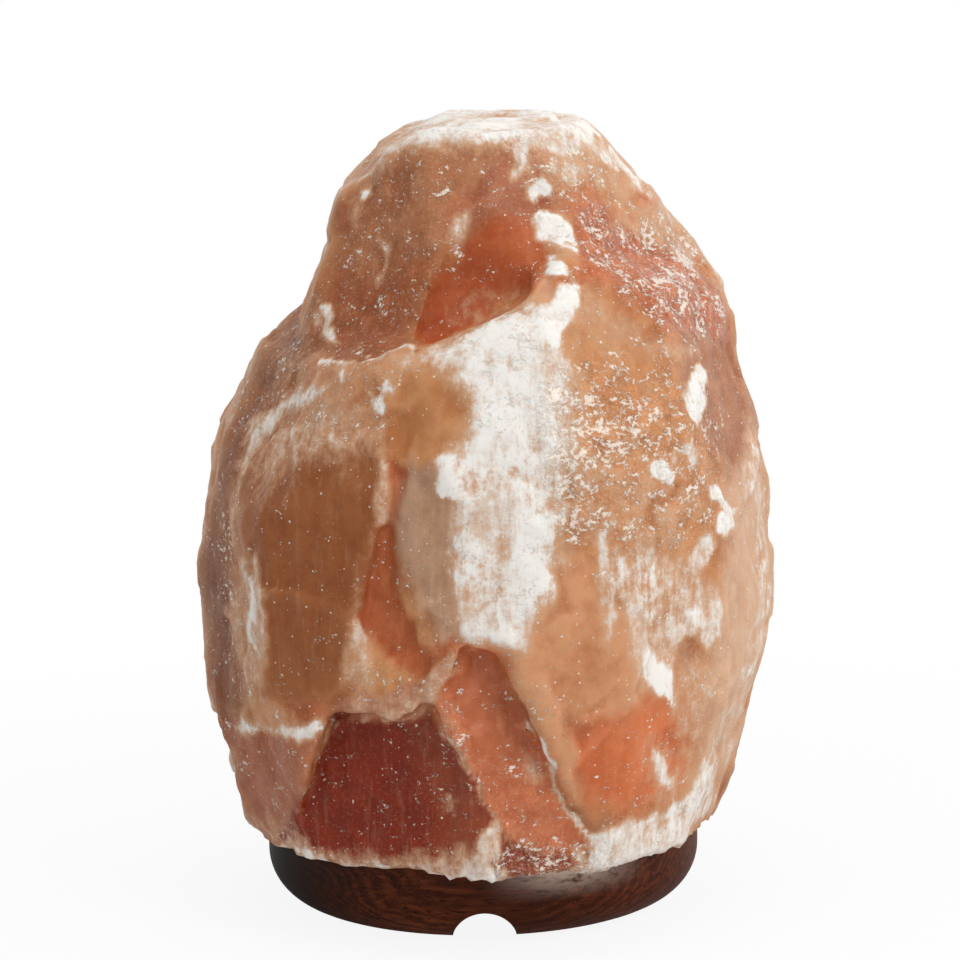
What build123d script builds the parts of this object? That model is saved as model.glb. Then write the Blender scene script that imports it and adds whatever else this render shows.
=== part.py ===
"""A salt crystal lamp: a rough block of rock salt on a turned wooden base, bored out from below
for a small screw-in bulb, whose holder is sprung into the bore and pulls out downwards.

Millimetres, +Z up. The origin is on the table, on the axis of the base, and the notch for the
cord faces -Y. Everything stands on the four foot pads, so heights add up from the table.
"""

from build123d import *
import os
from math import cos, radians, sin

os.makedirs("parts", exist_ok=True)

# Foot pads
foot_height = 2.0
foot_radius = 5.0
foot_bevel = 0.4
foot_circle_radius = 42.0
foot_count = 4

# Turned wooden base, whose side rolls in towards the underside
base_radius = 62.5
base_height = 25.0
base_underside_radius = 52.5
base_side_rise = 14.0
base_top_edge_radius = 4.0
lamp_bore_radius = 25.0
cord_notch_radius = 8.8
cord_notch_softening = 1.6
level_tolerance = 0.1

# Screws that hold the rock down, and the nylon plugs that they bite in
screw_circle_radius = 38.0
screw_count = 3
screw_length = 46.0
screw_radius = 2.4
screw_head_radius = 4.7
screw_head_height = 3.2
screw_tip_length = 4.0
screw_tip_radius = 0.4
screw_slot_width = 1.1
screw_slot_depth = 1.5
screw_hole_clearance = 0.3
plug_radius = 4.0
plug_length = 26.0
plug_wall_to_screw = 0.1
plug_slot_width = 1.0

# Rock: the widest reach from the axis, the height, and the bore for the bulb
rock_radius = 82.0
rock_height = 201.0
rock_bore_depth = 106.0
rock_bore_dome = 9.0

# Lamp holder, whose entry bush hangs below the rock, inside the base's bore
entry_bush_drop = 13.0
entry_bush_flange_height = 6.0
entry_bush_flange_radius = 7.5
entry_bush_neck_radius = 5.0
entry_bush_neck_past_floor = 2.5
cord_entry_radius = 3.5
grip_screw_radius = 1.5
grip_screw_slot_width = 0.5
cap_radius = 13.0
cap_wall = 2.0
cap_floor = 2.5
cap_height = 25.0
cap_edge_radius = 1.0
skirt_radius = 13.5
skirt_wall = 2.0
skirt_height = 34.0
skirt_rim_radius = 0.5
skirt_flange_radius = 16.5
skirt_flange_height = 2.5
skirt_flange_rise = 5.0
ring_height = 7.0
ring_radius = 16.5
ring_grip_count = 24
ring_grip_radius = 0.6
thread_clearance = 0.1
skirt_lip_width = 2.0
skirt_lip_height = 1.5
contact_block_clearance = 0.3
contact_block_height = 8.0
terminal_width = 5.0
terminal_height = 7.0
terminal_spacing = 13.0
terminal_hole_radius = 1.4
terminal_hole_depth = 5.0
terminal_screw_radius = 1.2
terminal_screw_rise = 2.5
terminal_screw_head_radius = 2.0
terminal_screw_head_height = 1.2
terminal_screw_slot_width = 0.7

# Sprung clip that holds the lamp holder in the bore
clip_thickness = 0.8
clip_width = 10.0
clip_ear_reach = 19.0
clip_wall_gap = 0.3
clip_flex_gap = 0.03
clip_grip_drop = 20.0
clip_tail_drop = 31.0
clip_tail_reach = 21.0
clip_tail_radius = 3.0

# Screw shell and its centre contact, to the common small screw fitting
thread_pitch = 2.822
shell_radius = 7.15
shell_wall = 0.5
shell_height = 19.0
shell_floor_hole_radius = 4.2
shell_ridge_radius = 0.6
shell_ridge_bite = 0.15
shell_ridge_lead_turns = 1.5
contact_strip_width = 4.0
contact_strip_thickness = 0.5
contact_strip_rise = 2.0
contact_strip_reach = 3.2
contact_gap = 0.05
rivet_count = 3
rivet_circle_radius = 5.7
rivet_radius = 0.9
rivet_head_radius = 1.4
rivet_head_height = 0.4

# Bulb
bulb_cap_radius = 6.1
bulb_cap_wall = 0.4
bulb_cap_height = 19.0
bulb_cap_collar_radius = 7.2
bulb_cap_collar_height = 4.0
bulb_ridge_radius = 0.75
bulb_ridge_bite = 0.05
bulb_ridge_rise = 0.9
bulb_thread_height = 11.0
bulb_contact_radius = 2.4
bulb_contact_height = 1.0
bulb_insulator_radius = 5.2
bulb_insulator_height = 3.2
bulb_insulator_overlap = 0.6
bulb_radius = 13.0
bulb_wall = 0.8
bulb_neck_clearance = 0.1
bulb_neck_overlap = 6.0
bulb_neck_height = 10.0
bulb_shoulder_height = 17.0
bulb_side_height = 5.0
stem_flare_height = 3.0
stem_radius = 1.6
stem_height = 16.0
stem_button_radius = 2.4
lead_radius = 0.35
lead_spacing_at_stem = 2.0
lead_spacing_at_filament = 10.0
lead_height = 9.0
filament_radius = 0.3
filament_rise = 4.0
support_wire_radius = 0.2

# Levels, from the table up
base_bottom = foot_height
rock_bottom = base_bottom + base_height
entry_bush_bottom = rock_bottom - entry_bush_drop
cap_bottom = entry_bush_bottom + entry_bush_flange_height
skirt_bottom = cap_bottom + cap_height
flange_bottom = skirt_bottom + skirt_flange_rise
clip_bottom = flange_bottom + skirt_flange_height
ring_bottom = clip_bottom + clip_thickness
block_bottom = skirt_bottom + skirt_lip_height
shell_bottom = block_bottom + contact_block_height
skirt_top = skirt_bottom + skirt_height
contact_top = shell_bottom + contact_strip_rise
bulb_bottom = contact_top + contact_gap
insulator_bottom = bulb_bottom + bulb_contact_height
bulb_cap_bottom = insulator_bottom + bulb_insulator_height - bulb_insulator_overlap
bulb_cap_top = bulb_cap_bottom + bulb_cap_height
bulb_neck_bottom = bulb_cap_top - bulb_neck_overlap
bulb_shoulder_bottom = bulb_neck_bottom + bulb_neck_height
bulb_side_bottom = bulb_shoulder_bottom + bulb_shoulder_height
bulb_dome_bottom = bulb_side_bottom + bulb_side_height
stem_top = bulb_neck_bottom + stem_height
filament_bottom = stem_top + lead_height

BOTTOM_UP = (Align.CENTER, Align.CENTER, Align.MIN)
TOP_DOWN = (Align.CENTER, Align.CENTER, Align.MAX)


def turn(corners):
    """Turn the piece being built from an outline of (radius, height) corners."""
    with BuildSketch(Plane.XZ) as half_section:
        with BuildLine():
            Polyline(*corners, close=True)
        make_face()
    revolve(half_section.sketch, axis=Axis.Z)


# ------------------------------------------------------------------ foot pads
with BuildPart() as rubber_feet:
    with PolarLocations(foot_circle_radius, foot_count, start_angle=180 / foot_count):
        Cylinder(foot_radius, foot_height, align=BOTTOM_UP)
    chamfer(rubber_feet.edges().group_by(Axis.Z)[0], foot_bevel)

rubber_feet.part.label = "rubber_feet"
export_step(rubber_feet.part, "parts/rubber_feet.step")

# ------------------------------------------------------------------ wooden base
screw_places = PolarLocations(
    screw_circle_radius, screw_count, start_angle=0, angular_range=180, endpoint=True
)
screw_hole_radius = screw_radius + screw_hole_clearance
base_roll_width = base_radius - base_underside_radius
base_roll_radius = (base_roll_width**2 + base_side_rise**2) / (2 * base_roll_width)

with BuildPart() as wooden_base:
    with BuildSketch(Plane.XZ):
        with BuildLine():
            underside = Line((lamp_bore_radius, base_bottom), (base_underside_radius, base_bottom))
            roll = RadiusArc(
                underside @ 1, (base_radius, base_bottom + base_side_rise), -base_roll_radius
            )
            side = Line(roll @ 1, (base_radius, rock_bottom - base_top_edge_radius))
            top_edge = RadiusArc(
                side @ 1, (base_radius - base_top_edge_radius, rock_bottom), -base_top_edge_radius
            )
            Polyline(top_edge @ 1, (lamp_bore_radius, rock_bottom), underside @ 0)
        make_face()
    revolve(axis=Axis.Z)
    # The cord's way out: a half-round notch in the underside, from the bore out through the rim
    with BuildSketch(Plane.XZ) as notch_profile:
        with Locations((0, base_bottom)):
            Circle(cord_notch_radius)
            Rectangle(2 * base_radius, cord_notch_radius, align=(Align.CENTER, Align.MAX))
        lips = notch_profile.vertices().filter_by_position(
            Axis.Z, base_bottom - level_tolerance, base_bottom + level_tolerance
        ).sort_by(Axis.X)
        fillet(lips[1:-1], cord_notch_softening)
    extrude(amount=base_radius + cord_notch_radius, mode=Mode.SUBTRACT)
    with screw_places:
        with Locations((0, 0, base_bottom)):
            Cylinder(screw_hole_radius, base_height, align=BOTTOM_UP, mode=Mode.SUBTRACT)
            Cone(
                screw_head_radius + screw_hole_clearance,
                screw_hole_radius,
                screw_head_height,
                align=BOTTOM_UP,
                mode=Mode.SUBTRACT,
            )

wooden_base.part.label = "wooden_base"
export_step(wooden_base.part, "parts/wooden_base.step")

# ------------------------------------------------------------------ fixing screws and plugs
with BuildPart() as fixing_screws:
    with screw_places:
        with Locations((0, 0, base_bottom)):
            Cone(screw_head_radius, screw_radius, screw_head_height, align=BOTTOM_UP)
            Cylinder(screw_radius, screw_length - screw_tip_length, align=BOTTOM_UP)
        with Locations((0, 0, base_bottom + screw_length - screw_tip_length)):
            Cone(screw_radius, screw_tip_radius, screw_tip_length, align=BOTTOM_UP)
        for slot_angle in (0, 90):
            with Locations(Location((0, 0, base_bottom), (0, 0, slot_angle))):
                Box(
                    screw_head_radius,
                    screw_slot_width,
                    screw_slot_depth,
                    align=BOTTOM_UP,
                    mode=Mode.SUBTRACT,
                )

fixing_screws.part.label = "fixing_screws"
export_step(fixing_screws.part, "parts/fixing_screws.step")

plug_bore_radius = screw_radius + plug_wall_to_screw
with BuildPart() as wall_plugs:
    with screw_places:
        with Locations((0, 0, rock_bottom)):
            Cylinder(plug_radius, plug_length, align=BOTTOM_UP)
            Cylinder(plug_bore_radius, plug_length, align=BOTTOM_UP, mode=Mode.SUBTRACT)
        # Each plug is slit over its far half, so that the screw spreads it
        with Locations((0, 0, rock_bottom + plug_length / 2)):
            Box(
                2 * plug_radius,
                plug_slot_width,
                plug_length / 2,
                align=BOTTOM_UP,
                mode=Mode.SUBTRACT,
            )

wall_plugs.part.label = "wall_plugs"
export_step(wall_plugs.part, "parts/wall_plugs.step")

# ------------------------------------------------------------------ salt crystal
# A block of rock salt breaks along flat faces. Each face below is (bearing, lean, reach, height):
# the compass bearing that it looks towards, in degrees from +X, how far it leans back from
# upright, and how far out it stands from the axis at one height, both in hundredths of
# rock_radius and rock_height.
main_faces = (
    # round the foot, undercut
    (184, -12, 84.5, 0), (214, -13, 89, 0), (243, -1, 101, 0), (270, 0, 110, 0),
    (293, -8, 99, 0), (315, -14, 92, 0), (340, -18, 83.5, 0), (2, -26, 81, 0),
    (0, -15, 94, 16), (25, -16, 79, 0), (55, -13, 86, 0), (85, -11, 92, 0),
    (115, -13, 90, 0), (150, -14, 84, 0), (198, -38, 84, 0),
    # round the waist, nearly upright
    (176, 0, 97.5, 34), (206, 2, 99, 34), (244, 1, 102, 34), (270, 0, 111, 34),
    (292, 3, 109, 34), (312, -1, 105, 34), (338, 2, 101.5, 34), (2, 0, 100.5, 34),
    (30, 2, 102, 34), (62, -2, 106, 34), (92, 0, 110, 34), (128, 2, 105, 34),
    (155, -1, 101, 34),
    # round the shoulder, leaning back
    (184, 9, 93.5, 45), (180, 25, 83.5, 60), (172, 40, 67, 70), (212, 24, 85, 61),
    (242, 12, 96, 61), (268, 18, 102, 61), (300, 16, 100, 61), (335, 14, 94, 61),
    (0, 13, 93.5, 60), (40, 18, 93, 61), (80, 22, 95, 61), (120, 20, 92, 61),
    # the two slopes of the ledge, which meet in a spur, and their broken front edges
    (212, 60.5, 68.5, 69.5), (332, 58, 66, 81), (248, 41, 93.5, 68), (311, 38, 88.5, 75),
    # its back slopes, under the upper mass
    (10, 42, 70.5, 84), (75, 48, 66, 80), (135, 48, 62, 78),
)
upper_faces = (
    (180, 16, 50, 83.5), (182, 43, 39, 93), (180, 70, 18, 97.5),
    (232, 15, 66, 76), (262, 20, 74, 76), (290, 20, 74, 76), (325, 26, 73, 76),
    (0, 14, 92, 60), (0, 38, 69.5, 84), (2, 46, 48, 95), (345, 20, 84, 64),
    (20, 20, 88, 62), (50, 22, 82, 70), (90, 20, 84, 70), (130, 20, 78, 70),
    (155, 22, 62, 76), (90, 50, 55, 92), (270, 88, 0, 99),
)

# What has flaked off the front: the outline of each flake seen from the front, as (x, z) in
# hundredths of rock_radius from the axis and of rock_height from the underside, and the face
# that it left behind.
flakes = (
    # dark hollow at the foot, left and right of its crack
    (
        ((-66, -4), (-60, 8), (-50, 22), (-37, 22.5), (-26, 21.5), (-16, 24.5), (3, 6), (3, -4)),
        (241, 1, 91, 0),
    ),
    (
        ((-16, 24.5), (-8.5, 29), (-5, 32), (3, 31), (13, 25.5), (21, 16), (36, 5), (42, -4),
         (3, -4), (3, 6)),
        (290, 5, 99, 0),
    ),
    # throat above the ledge
    (
        ((-1, 90), (18, 90), (17.5, 77), (-20, 69.8), (-12, 80)),
        (262, 8, 67, 76),
    ),
    # strip beside the slab on the left, deepest along the slab's edge
    (
        ((-27.5, 56.5), (-27.7, 50), (-34, 45.5), (-40, 36), (-35, 27), (-26, 31), (-14, 32.5),
         (2, 36), (2, 54), (-14, 56.5)),
        (236, 1, 95.3, 40),
    ),
    # step under the left edge, where a flat lump sheared off
    (
        ((-92, 12.6), (-85, 11), (-87.5, 8), (-87.5, -4), (-140, -4), (-140, 12.6)),
        (235, 0, -30, 0),
    ),
)


def cleavage_plane(bearing, lean, reach, height):
    """The plane of one cleavage face, looking out of the rock."""
    heading = radians(bearing)
    tilt = radians(lean)
    out = reach / 100 * rock_radius
    up = rock_bottom + height / 100 * rock_height
    return Plane(
        origin=(out * cos(heading), out * sin(heading), up),
        z_dir=(cos(tilt) * cos(heading), cos(tilt) * sin(heading), sin(tilt)),
    )


def cleave(faces):
    """Break the block being built along each of the faces."""
    for face in faces:
        split(bisect_by=cleavage_plane(*face), keep=Keep.BOTTOM)


def flake(outline, floor):
    """The lump in front of the rock inside an outline, down to the face that it left."""
    corners = [
        (x / 100 * rock_radius, rock_bottom + z / 100 * rock_height) for x, z in outline
    ]
    with BuildPart() as lump:
        with BuildSketch(Plane.XZ):
            with BuildLine():
                Polyline(*corners, close=True)
            make_face()
        extrude(amount=2 * rock_radius)
        split(bisect_by=cleavage_plane(*floor), keep=Keep.TOP)
    return lump.part


# Wide enough for every face to cut it
raw_block_width = 3 * rock_radius
with BuildPart() as main_mass:
    with Locations((0, 0, rock_bottom)):
        Box(raw_block_width, raw_block_width, rock_height, align=BOTTOM_UP)
    cleave(main_faces)

with BuildPart() as upper_mass:
    with Locations((0, 0, rock_bottom + rock_height / 2)):
        Box(raw_block_width, raw_block_width, rock_height, align=BOTTOM_UP)
    cleave(upper_faces)

flake_lumps = [flake(outline, floor) for outline, floor in flakes]

rock_bore_side_height = rock_bore_depth - rock_bore_dome
with BuildPart() as salt_crystal:
    add(main_mass.part)
    add(upper_mass.part)
    add(flake_lumps, mode=Mode.SUBTRACT)
    with Locations((0, 0, rock_bottom)):
        Cylinder(
            lamp_bore_radius, rock_bore_side_height, align=BOTTOM_UP, mode=Mode.SUBTRACT
        )
    with Locations((0, 0, rock_bottom + rock_bore_side_height)):
        Cone(
            lamp_bore_radius,
            lamp_bore_radius - rock_bore_dome,
            rock_bore_dome,
            align=BOTTOM_UP,
            mode=Mode.SUBTRACT,
        )
    with screw_places:
        with Locations((0, 0, rock_bottom)):
            Cylinder(plug_radius, plug_length, align=BOTTOM_UP, mode=Mode.SUBTRACT)

salt_crystal.part.label = "salt_crystal"
export_step(salt_crystal.part, "parts/salt_crystal.step")

# ------------------------------------------------------------------ lamp holder: cord entry
bush_floor_top = cap_bottom + cap_floor
grip_screw_height = entry_bush_bottom + entry_bush_flange_height / 2
grip_screw_length = entry_bush_flange_radius - cord_entry_radius
with BuildPart() as entry_bush:
    turn(
        (
            (cord_entry_radius, entry_bush_bottom),
            (entry_bush_flange_radius, entry_bush_bottom),
            (entry_bush_flange_radius, cap_bottom),
            (entry_bush_neck_radius, cap_bottom),
            (entry_bush_neck_radius, bush_floor_top + entry_bush_neck_past_floor),
            (cord_entry_radius, bush_floor_top + entry_bush_neck_past_floor),
        )
    )
    # Side hole for the screw that grips the cord
    with Locations(Location((0, -cord_entry_radius, grip_screw_height), (90, 0, 0))):
        Cylinder(grip_screw_radius, grip_screw_length, align=BOTTOM_UP, mode=Mode.SUBTRACT)

entry_bush.part.label = "entry_bush"
export_step(entry_bush.part, "parts/entry_bush.step")

# Set a little into its hole at both ends, with a driver slot in the outer one
with BuildPart() as grip_screw:
    with Locations(
        Location((0, -cord_entry_radius - thread_clearance, grip_screw_height), (90, 0, 0))
    ):
        Cylinder(grip_screw_radius, grip_screw_length - 2 * thread_clearance, align=BOTTOM_UP)
    with Locations((0, -entry_bush_flange_radius, grip_screw_height)):
        Box(2 * grip_screw_radius, grip_screw_radius, grip_screw_slot_width, mode=Mode.SUBTRACT)

grip_screw.part.label = "grip_screw"
export_step(grip_screw.part, "parts/grip_screw.step")

# ------------------------------------------------------------------ lamp holder: plastic shell
with BuildPart() as holder_cap:
    turn(
        (
            (entry_bush_neck_radius, cap_bottom),
            (cap_radius, cap_bottom),
            (cap_radius, skirt_bottom),
            (cap_radius - cap_wall, skirt_bottom),
            (cap_radius - cap_wall, bush_floor_top),
            (entry_bush_neck_radius, bush_floor_top),
        )
    )
    fillet(holder_cap.edges().filter_by(GeomType.CIRCLE).sort_by(SortBy.RADIUS)[-2:], cap_edge_radius)

holder_cap.part.label = "holder_cap"
export_step(holder_cap.part, "parts/holder_cap.step")

skirt_inner_radius = skirt_radius - skirt_wall
with BuildPart() as holder_skirt:
    turn(
        (
            (skirt_inner_radius - skirt_lip_width, skirt_bottom),
            (skirt_radius, skirt_bottom),
            (skirt_radius, flange_bottom),
            (skirt_flange_radius, flange_bottom),
            (skirt_flange_radius, clip_bottom),
            (skirt_radius, clip_bottom),
            (skirt_radius, skirt_top),
            (skirt_inner_radius, skirt_top),
            (skirt_inner_radius, block_bottom),
            (skirt_inner_radius - skirt_lip_width, block_bottom),
        )
    )
    fillet(holder_skirt.edges().group_by(Axis.Z)[-1], skirt_rim_radius)

holder_skirt.part.label = "holder_skirt"
export_step(holder_skirt.part, "parts/holder_skirt.step")

with BuildPart() as ring_nut:
    with Locations((0, 0, ring_bottom)):
        Cylinder(ring_radius, ring_height, align=BOTTOM_UP)
        Cylinder(
            skirt_radius + thread_clearance, ring_height, align=BOTTOM_UP, mode=Mode.SUBTRACT
        )
    chamfer(ring_nut.edges().filter_by(GeomType.CIRCLE).sort_by(SortBy.RADIUS)[-2:], ring_grip_radius)
    with PolarLocations(ring_radius, ring_grip_count):
        with Locations((0, 0, ring_bottom)):
            Cylinder(ring_grip_radius, ring_height, align=BOTTOM_UP, mode=Mode.SUBTRACT)

ring_nut.part.label = "ring_nut"
export_step(ring_nut.part, "parts/ring_nut.step")

# ------------------------------------------------------------------ sprung clip
# One bent strip on the real lamp. Its two arms flex at the edge of the plate, so here each arm
# begins there with a half-round end, a hair clear of the plate.
flex_radius = clip_thickness / 2
flex_height = clip_bottom + flex_radius
flex_reach = clip_ear_reach
# The strip's outer edges, not its middle, are what meets the round bore
grip_reach = (
    ((lamp_bore_radius - clip_wall_gap) ** 2 - (clip_width / 2) ** 2) ** 0.5 - flex_radius
)
ear_length = clip_ear_reach - flex_radius - clip_flex_gap

with BuildPart() as clip_plate:
    with Locations((0, 0, clip_bottom)):
        Cylinder(skirt_flange_radius, clip_thickness, align=BOTTOM_UP)
        Box(2 * ear_length, clip_width, clip_thickness, align=BOTTOM_UP)
        Cylinder(
            skirt_radius + thread_clearance, clip_thickness, align=BOTTOM_UP, mode=Mode.SUBTRACT
        )

clip_plate.part.label = "clip_plate"
export_step(clip_plate.part, "parts/clip_plate.step")

with BuildPart() as right_clip_arm:
    with BuildSketch(Plane.XZ):
        with BuildLine():
            FilletPolyline(
                (flex_reach, flex_height),
                (grip_reach, flex_height - clip_grip_drop),
                (clip_tail_reach, flex_height - clip_tail_drop),
                radius=clip_tail_radius,
            )
        trace(line_width=clip_thickness)
        with Locations((flex_reach, flex_height)):
            Circle(flex_radius)
    extrude(amount=clip_width / 2, both=True)

right_clip_arm.part.label = "right_clip_arm"
export_step(right_clip_arm.part, "parts/right_clip_arm.step")

with BuildPart() as left_clip_arm:
    mirror(right_clip_arm.part, about=Plane.YZ)

left_clip_arm.part.label = "left_clip_arm"
export_step(left_clip_arm.part, "parts/left_clip_arm.step")

# ------------------------------------------------------------------ lamp holder: live parts
rivet_places = PolarLocations(rivet_circle_radius, rivet_count, start_angle=180)

with BuildPart() as contact_block:
    with Locations((0, 0, block_bottom)):
        Cylinder(
            skirt_inner_radius - contact_block_clearance, contact_block_height, align=BOTTOM_UP
        )
    with rivet_places:
        with Locations((0, 0, block_bottom)):
            Cylinder(rivet_radius, contact_block_height, align=BOTTOM_UP, mode=Mode.SUBTRACT)
    # Slots for the centre contact's riser and for its foot, which lies over the right terminal
    with Locations((contact_strip_reach, 0, block_bottom)):
        Box(
            contact_strip_thickness,
            contact_strip_width,
            contact_block_height,
            align=BOTTOM_UP,
            mode=Mode.SUBTRACT,
        )
        Box(
            (terminal_spacing + terminal_width) / 2 - contact_strip_reach,
            contact_strip_width,
            contact_strip_thickness,
            align=(Align.MIN, Align.CENTER, Align.MIN),
            mode=Mode.SUBTRACT,
        )

contact_block.part.label = "contact_block"
export_step(contact_block.part, "parts/contact_block.step")

# A brass strip: its foot on the right terminal, a riser through the block, and a leaf bent
# over under the bulb's tip
with BuildPart() as centre_contact:
    with Locations((contact_strip_reach, 0, block_bottom)):
        Box(
            contact_strip_thickness,
            contact_strip_width,
            contact_top - block_bottom,
            align=BOTTOM_UP,
        )
        Box(
            (terminal_spacing + terminal_width) / 2 - contact_strip_reach,
            contact_strip_width,
            contact_strip_thickness,
            align=(Align.MIN, Align.CENTER, Align.MIN),
        )
    with Locations((0, 0, contact_top)):
        Box(
            2 * contact_strip_reach + contact_strip_thickness,
            contact_strip_width,
            contact_strip_thickness,
            align=TOP_DOWN,
        )

centre_contact.part.label = "centre_contact"
export_step(centre_contact.part, "parts/centre_contact.step")

# Brass blocks hung under the contact block: a wire goes up into each, and a screw from the
# side holds it
terminal_screw_height = block_bottom - terminal_height + terminal_screw_rise
with BuildPart() as terminals:
    for side in (-1, 1):
        with Locations((side * terminal_spacing / 2, 0, block_bottom)):
            Box(terminal_width, terminal_width, terminal_height, align=TOP_DOWN)
        with Locations((side * terminal_spacing / 2, 0, block_bottom - terminal_height)):
            Cylinder(
                terminal_hole_radius, terminal_hole_depth, align=BOTTOM_UP, mode=Mode.SUBTRACT
            )
        with Locations(
            Location((side * terminal_spacing / 2, 0, terminal_screw_height), (0, side * 90, 0))
        ):
            Cylinder(
                terminal_screw_radius, terminal_width / 2, align=BOTTOM_UP, mode=Mode.SUBTRACT
            )

terminals.part.label = "terminals"
export_step(terminals.part, "parts/terminals.step")

with BuildPart() as terminal_screws:
    for side in (-1, 1):
        outer_face = side * (terminal_spacing + terminal_width) / 2
        with Locations(Location((outer_face, 0, terminal_screw_height), (0, side * 90, 0))):
            Cylinder(
                terminal_screw_radius,
                terminal_width / 2 - terminal_hole_radius,
                align=TOP_DOWN,
            )
            Cylinder(
                terminal_screw_head_radius, terminal_screw_head_height, align=BOTTOM_UP
            )
        slot_place = outer_face + side * terminal_screw_head_height
        with Locations((slot_place, 0, terminal_screw_height)):
            Box(
                terminal_screw_head_height,
                2 * terminal_screw_head_radius,
                terminal_screw_slot_width,
                mode=Mode.SUBTRACT,
            )

terminal_screws.part.label = "terminal_screws"
export_step(terminal_screws.part, "parts/terminal_screws.step")


def thread_ridge(ridge_radius, run_radius, bottom, height):
    """The rolled ridge of a lamp thread, right-handed, as one helical bead."""
    with BuildPart() as ridge:
        with BuildLine() as run:
            Helix(thread_pitch, height, run_radius, center=(0, 0, bottom))
        with BuildSketch(Plane(origin=run.line @ 0, z_dir=run.line % 0)):
            Circle(ridge_radius)
        sweep(is_frenet=True)
    return ridge.part


# The two ridges run half a turn apart, so that each lies in the other's groove
bulb_ridge_bottom = bulb_cap_bottom + bulb_ridge_rise
shell_ridge_bottom = bulb_ridge_bottom - shell_ridge_lead_turns * thread_pitch
shell_top = shell_bottom + shell_height
shell_ridge = thread_ridge(
    shell_ridge_radius,
    shell_radius - shell_ridge_bite,
    shell_ridge_bottom,
    shell_top - shell_ridge_radius - shell_ridge_bottom,
)
with BuildPart() as screw_shell:
    add(shell_ridge)
    turn(
        (
            (shell_floor_hole_radius, shell_bottom),
            (shell_radius + shell_wall, shell_bottom),
            (shell_radius + shell_wall, shell_top),
            (shell_radius, shell_top),
            (shell_radius, shell_bottom + shell_wall),
            (shell_floor_hole_radius, shell_bottom + shell_wall),
        )
    )
    with rivet_places:
        with Locations((0, 0, shell_bottom)):
            Cylinder(rivet_radius, shell_wall, align=BOTTOM_UP, mode=Mode.SUBTRACT)

screw_shell.part.label = "screw_shell"
export_step(screw_shell.part, "parts/screw_shell.step")

with BuildPart() as shell_rivets:
    with rivet_places:
        with Locations((0, 0, block_bottom)):
            Cylinder(rivet_radius, contact_block_height + shell_wall, align=BOTTOM_UP)
        with Locations((0, 0, shell_bottom + shell_wall)):
            Cylinder(rivet_head_radius, rivet_head_height, align=BOTTOM_UP)

shell_rivets.part.label = "shell_rivets"
export_step(shell_rivets.part, "parts/shell_rivets.step")

# ------------------------------------------------------------------ bulb: cap and contact
with BuildPart() as bulb_contact:
    turn(
        (
            (0, bulb_bottom),
            (bulb_contact_radius / 2, bulb_bottom),
            (bulb_contact_radius, bulb_bottom + bulb_contact_height / 2),
            (bulb_contact_radius, insulator_bottom),
            (0, insulator_bottom),
        )
    )

bulb_contact.part.label = "bulb_contact"
export_step(bulb_contact.part, "parts/bulb_contact.step")

with BuildPart() as bulb_insulator:
    turn(
        (
            (0, insulator_bottom),
            (bulb_contact_radius, insulator_bottom),
            (bulb_insulator_radius, bulb_cap_bottom),
            (bulb_insulator_radius, bulb_cap_bottom + bulb_insulator_overlap),
            (0, bulb_cap_bottom + bulb_insulator_overlap),
        )
    )

bulb_insulator.part.label = "bulb_insulator"
export_step(bulb_insulator.part, "parts/bulb_insulator.step")

bulb_cap_inner_radius = bulb_cap_radius - bulb_cap_wall
bulb_ridge = thread_ridge(
    bulb_ridge_radius, bulb_cap_radius + bulb_ridge_bite, bulb_ridge_bottom, bulb_thread_height
)
with BuildPart() as bulb_cap:
    add(bulb_ridge)
    turn(
        (
            (bulb_cap_inner_radius, bulb_cap_bottom),
            (bulb_cap_radius, bulb_cap_bottom),
            (bulb_cap_radius, bulb_cap_top - bulb_cap_collar_height),
            (bulb_cap_collar_radius, bulb_cap_top),
            (bulb_cap_inner_radius, bulb_cap_top),
        )
    )
    # The bead is rolled into the wall: nothing of it stands inside the cap
    with Locations((0, 0, bulb_cap_bottom)):
        Cylinder(
            bulb_cap_inner_radius, bulb_cap_height, align=BOTTOM_UP, mode=Mode.SUBTRACT
        )

bulb_cap.part.label = "bulb_cap"
export_step(bulb_cap.part, "parts/bulb_cap.step")

# ------------------------------------------------------------------ bulb: glass and filament
bulb_neck_radius = bulb_cap_inner_radius - bulb_neck_clearance


def bulb_outline(skin):
    """Half the bulb's section, drawn a skin's thickness inside the outer face."""
    neck = bulb_neck_radius - skin
    body = bulb_radius - skin
    with BuildSketch(Plane.XZ) as half_section:
        with BuildLine():
            bottom = Line((0, bulb_neck_bottom), (neck, bulb_neck_bottom))
            tube = Line(bottom @ 1, (neck, bulb_shoulder_bottom))
            shoulder = Spline(
                tube @ 1, (body, bulb_side_bottom), tangents=((0, 1), (0, 1))
            )
            wall = Line(shoulder @ 1, (body, bulb_dome_bottom))
            dome = RadiusArc(wall @ 1, (0, bulb_dome_bottom + body), -body)
            Line(dome @ 1, bottom @ 0)
        make_face()
    return half_section.sketch


with BuildPart() as bulb_glass:
    revolve(bulb_outline(0), axis=Axis.Z)
    revolve(bulb_outline(bulb_wall), axis=Axis.Z, mode=Mode.SUBTRACT)

bulb_glass.part.label = "bulb_glass"
export_step(bulb_glass.part, "parts/bulb_glass.step")

flare_top = bulb_neck_bottom + stem_flare_height
with BuildPart() as bulb_stem:
    turn(
        (
            (0, bulb_neck_bottom),
            (bulb_neck_radius - bulb_wall, bulb_neck_bottom),
            (stem_radius, flare_top),
            (stem_radius, stem_top - stem_button_radius),
            (stem_button_radius, stem_top - stem_button_radius / 2),
            (stem_button_radius, stem_top),
            (0, stem_top),
        )
    )

bulb_stem.part.label = "bulb_stem"
export_step(bulb_stem.part, "parts/bulb_stem.step")

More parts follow.
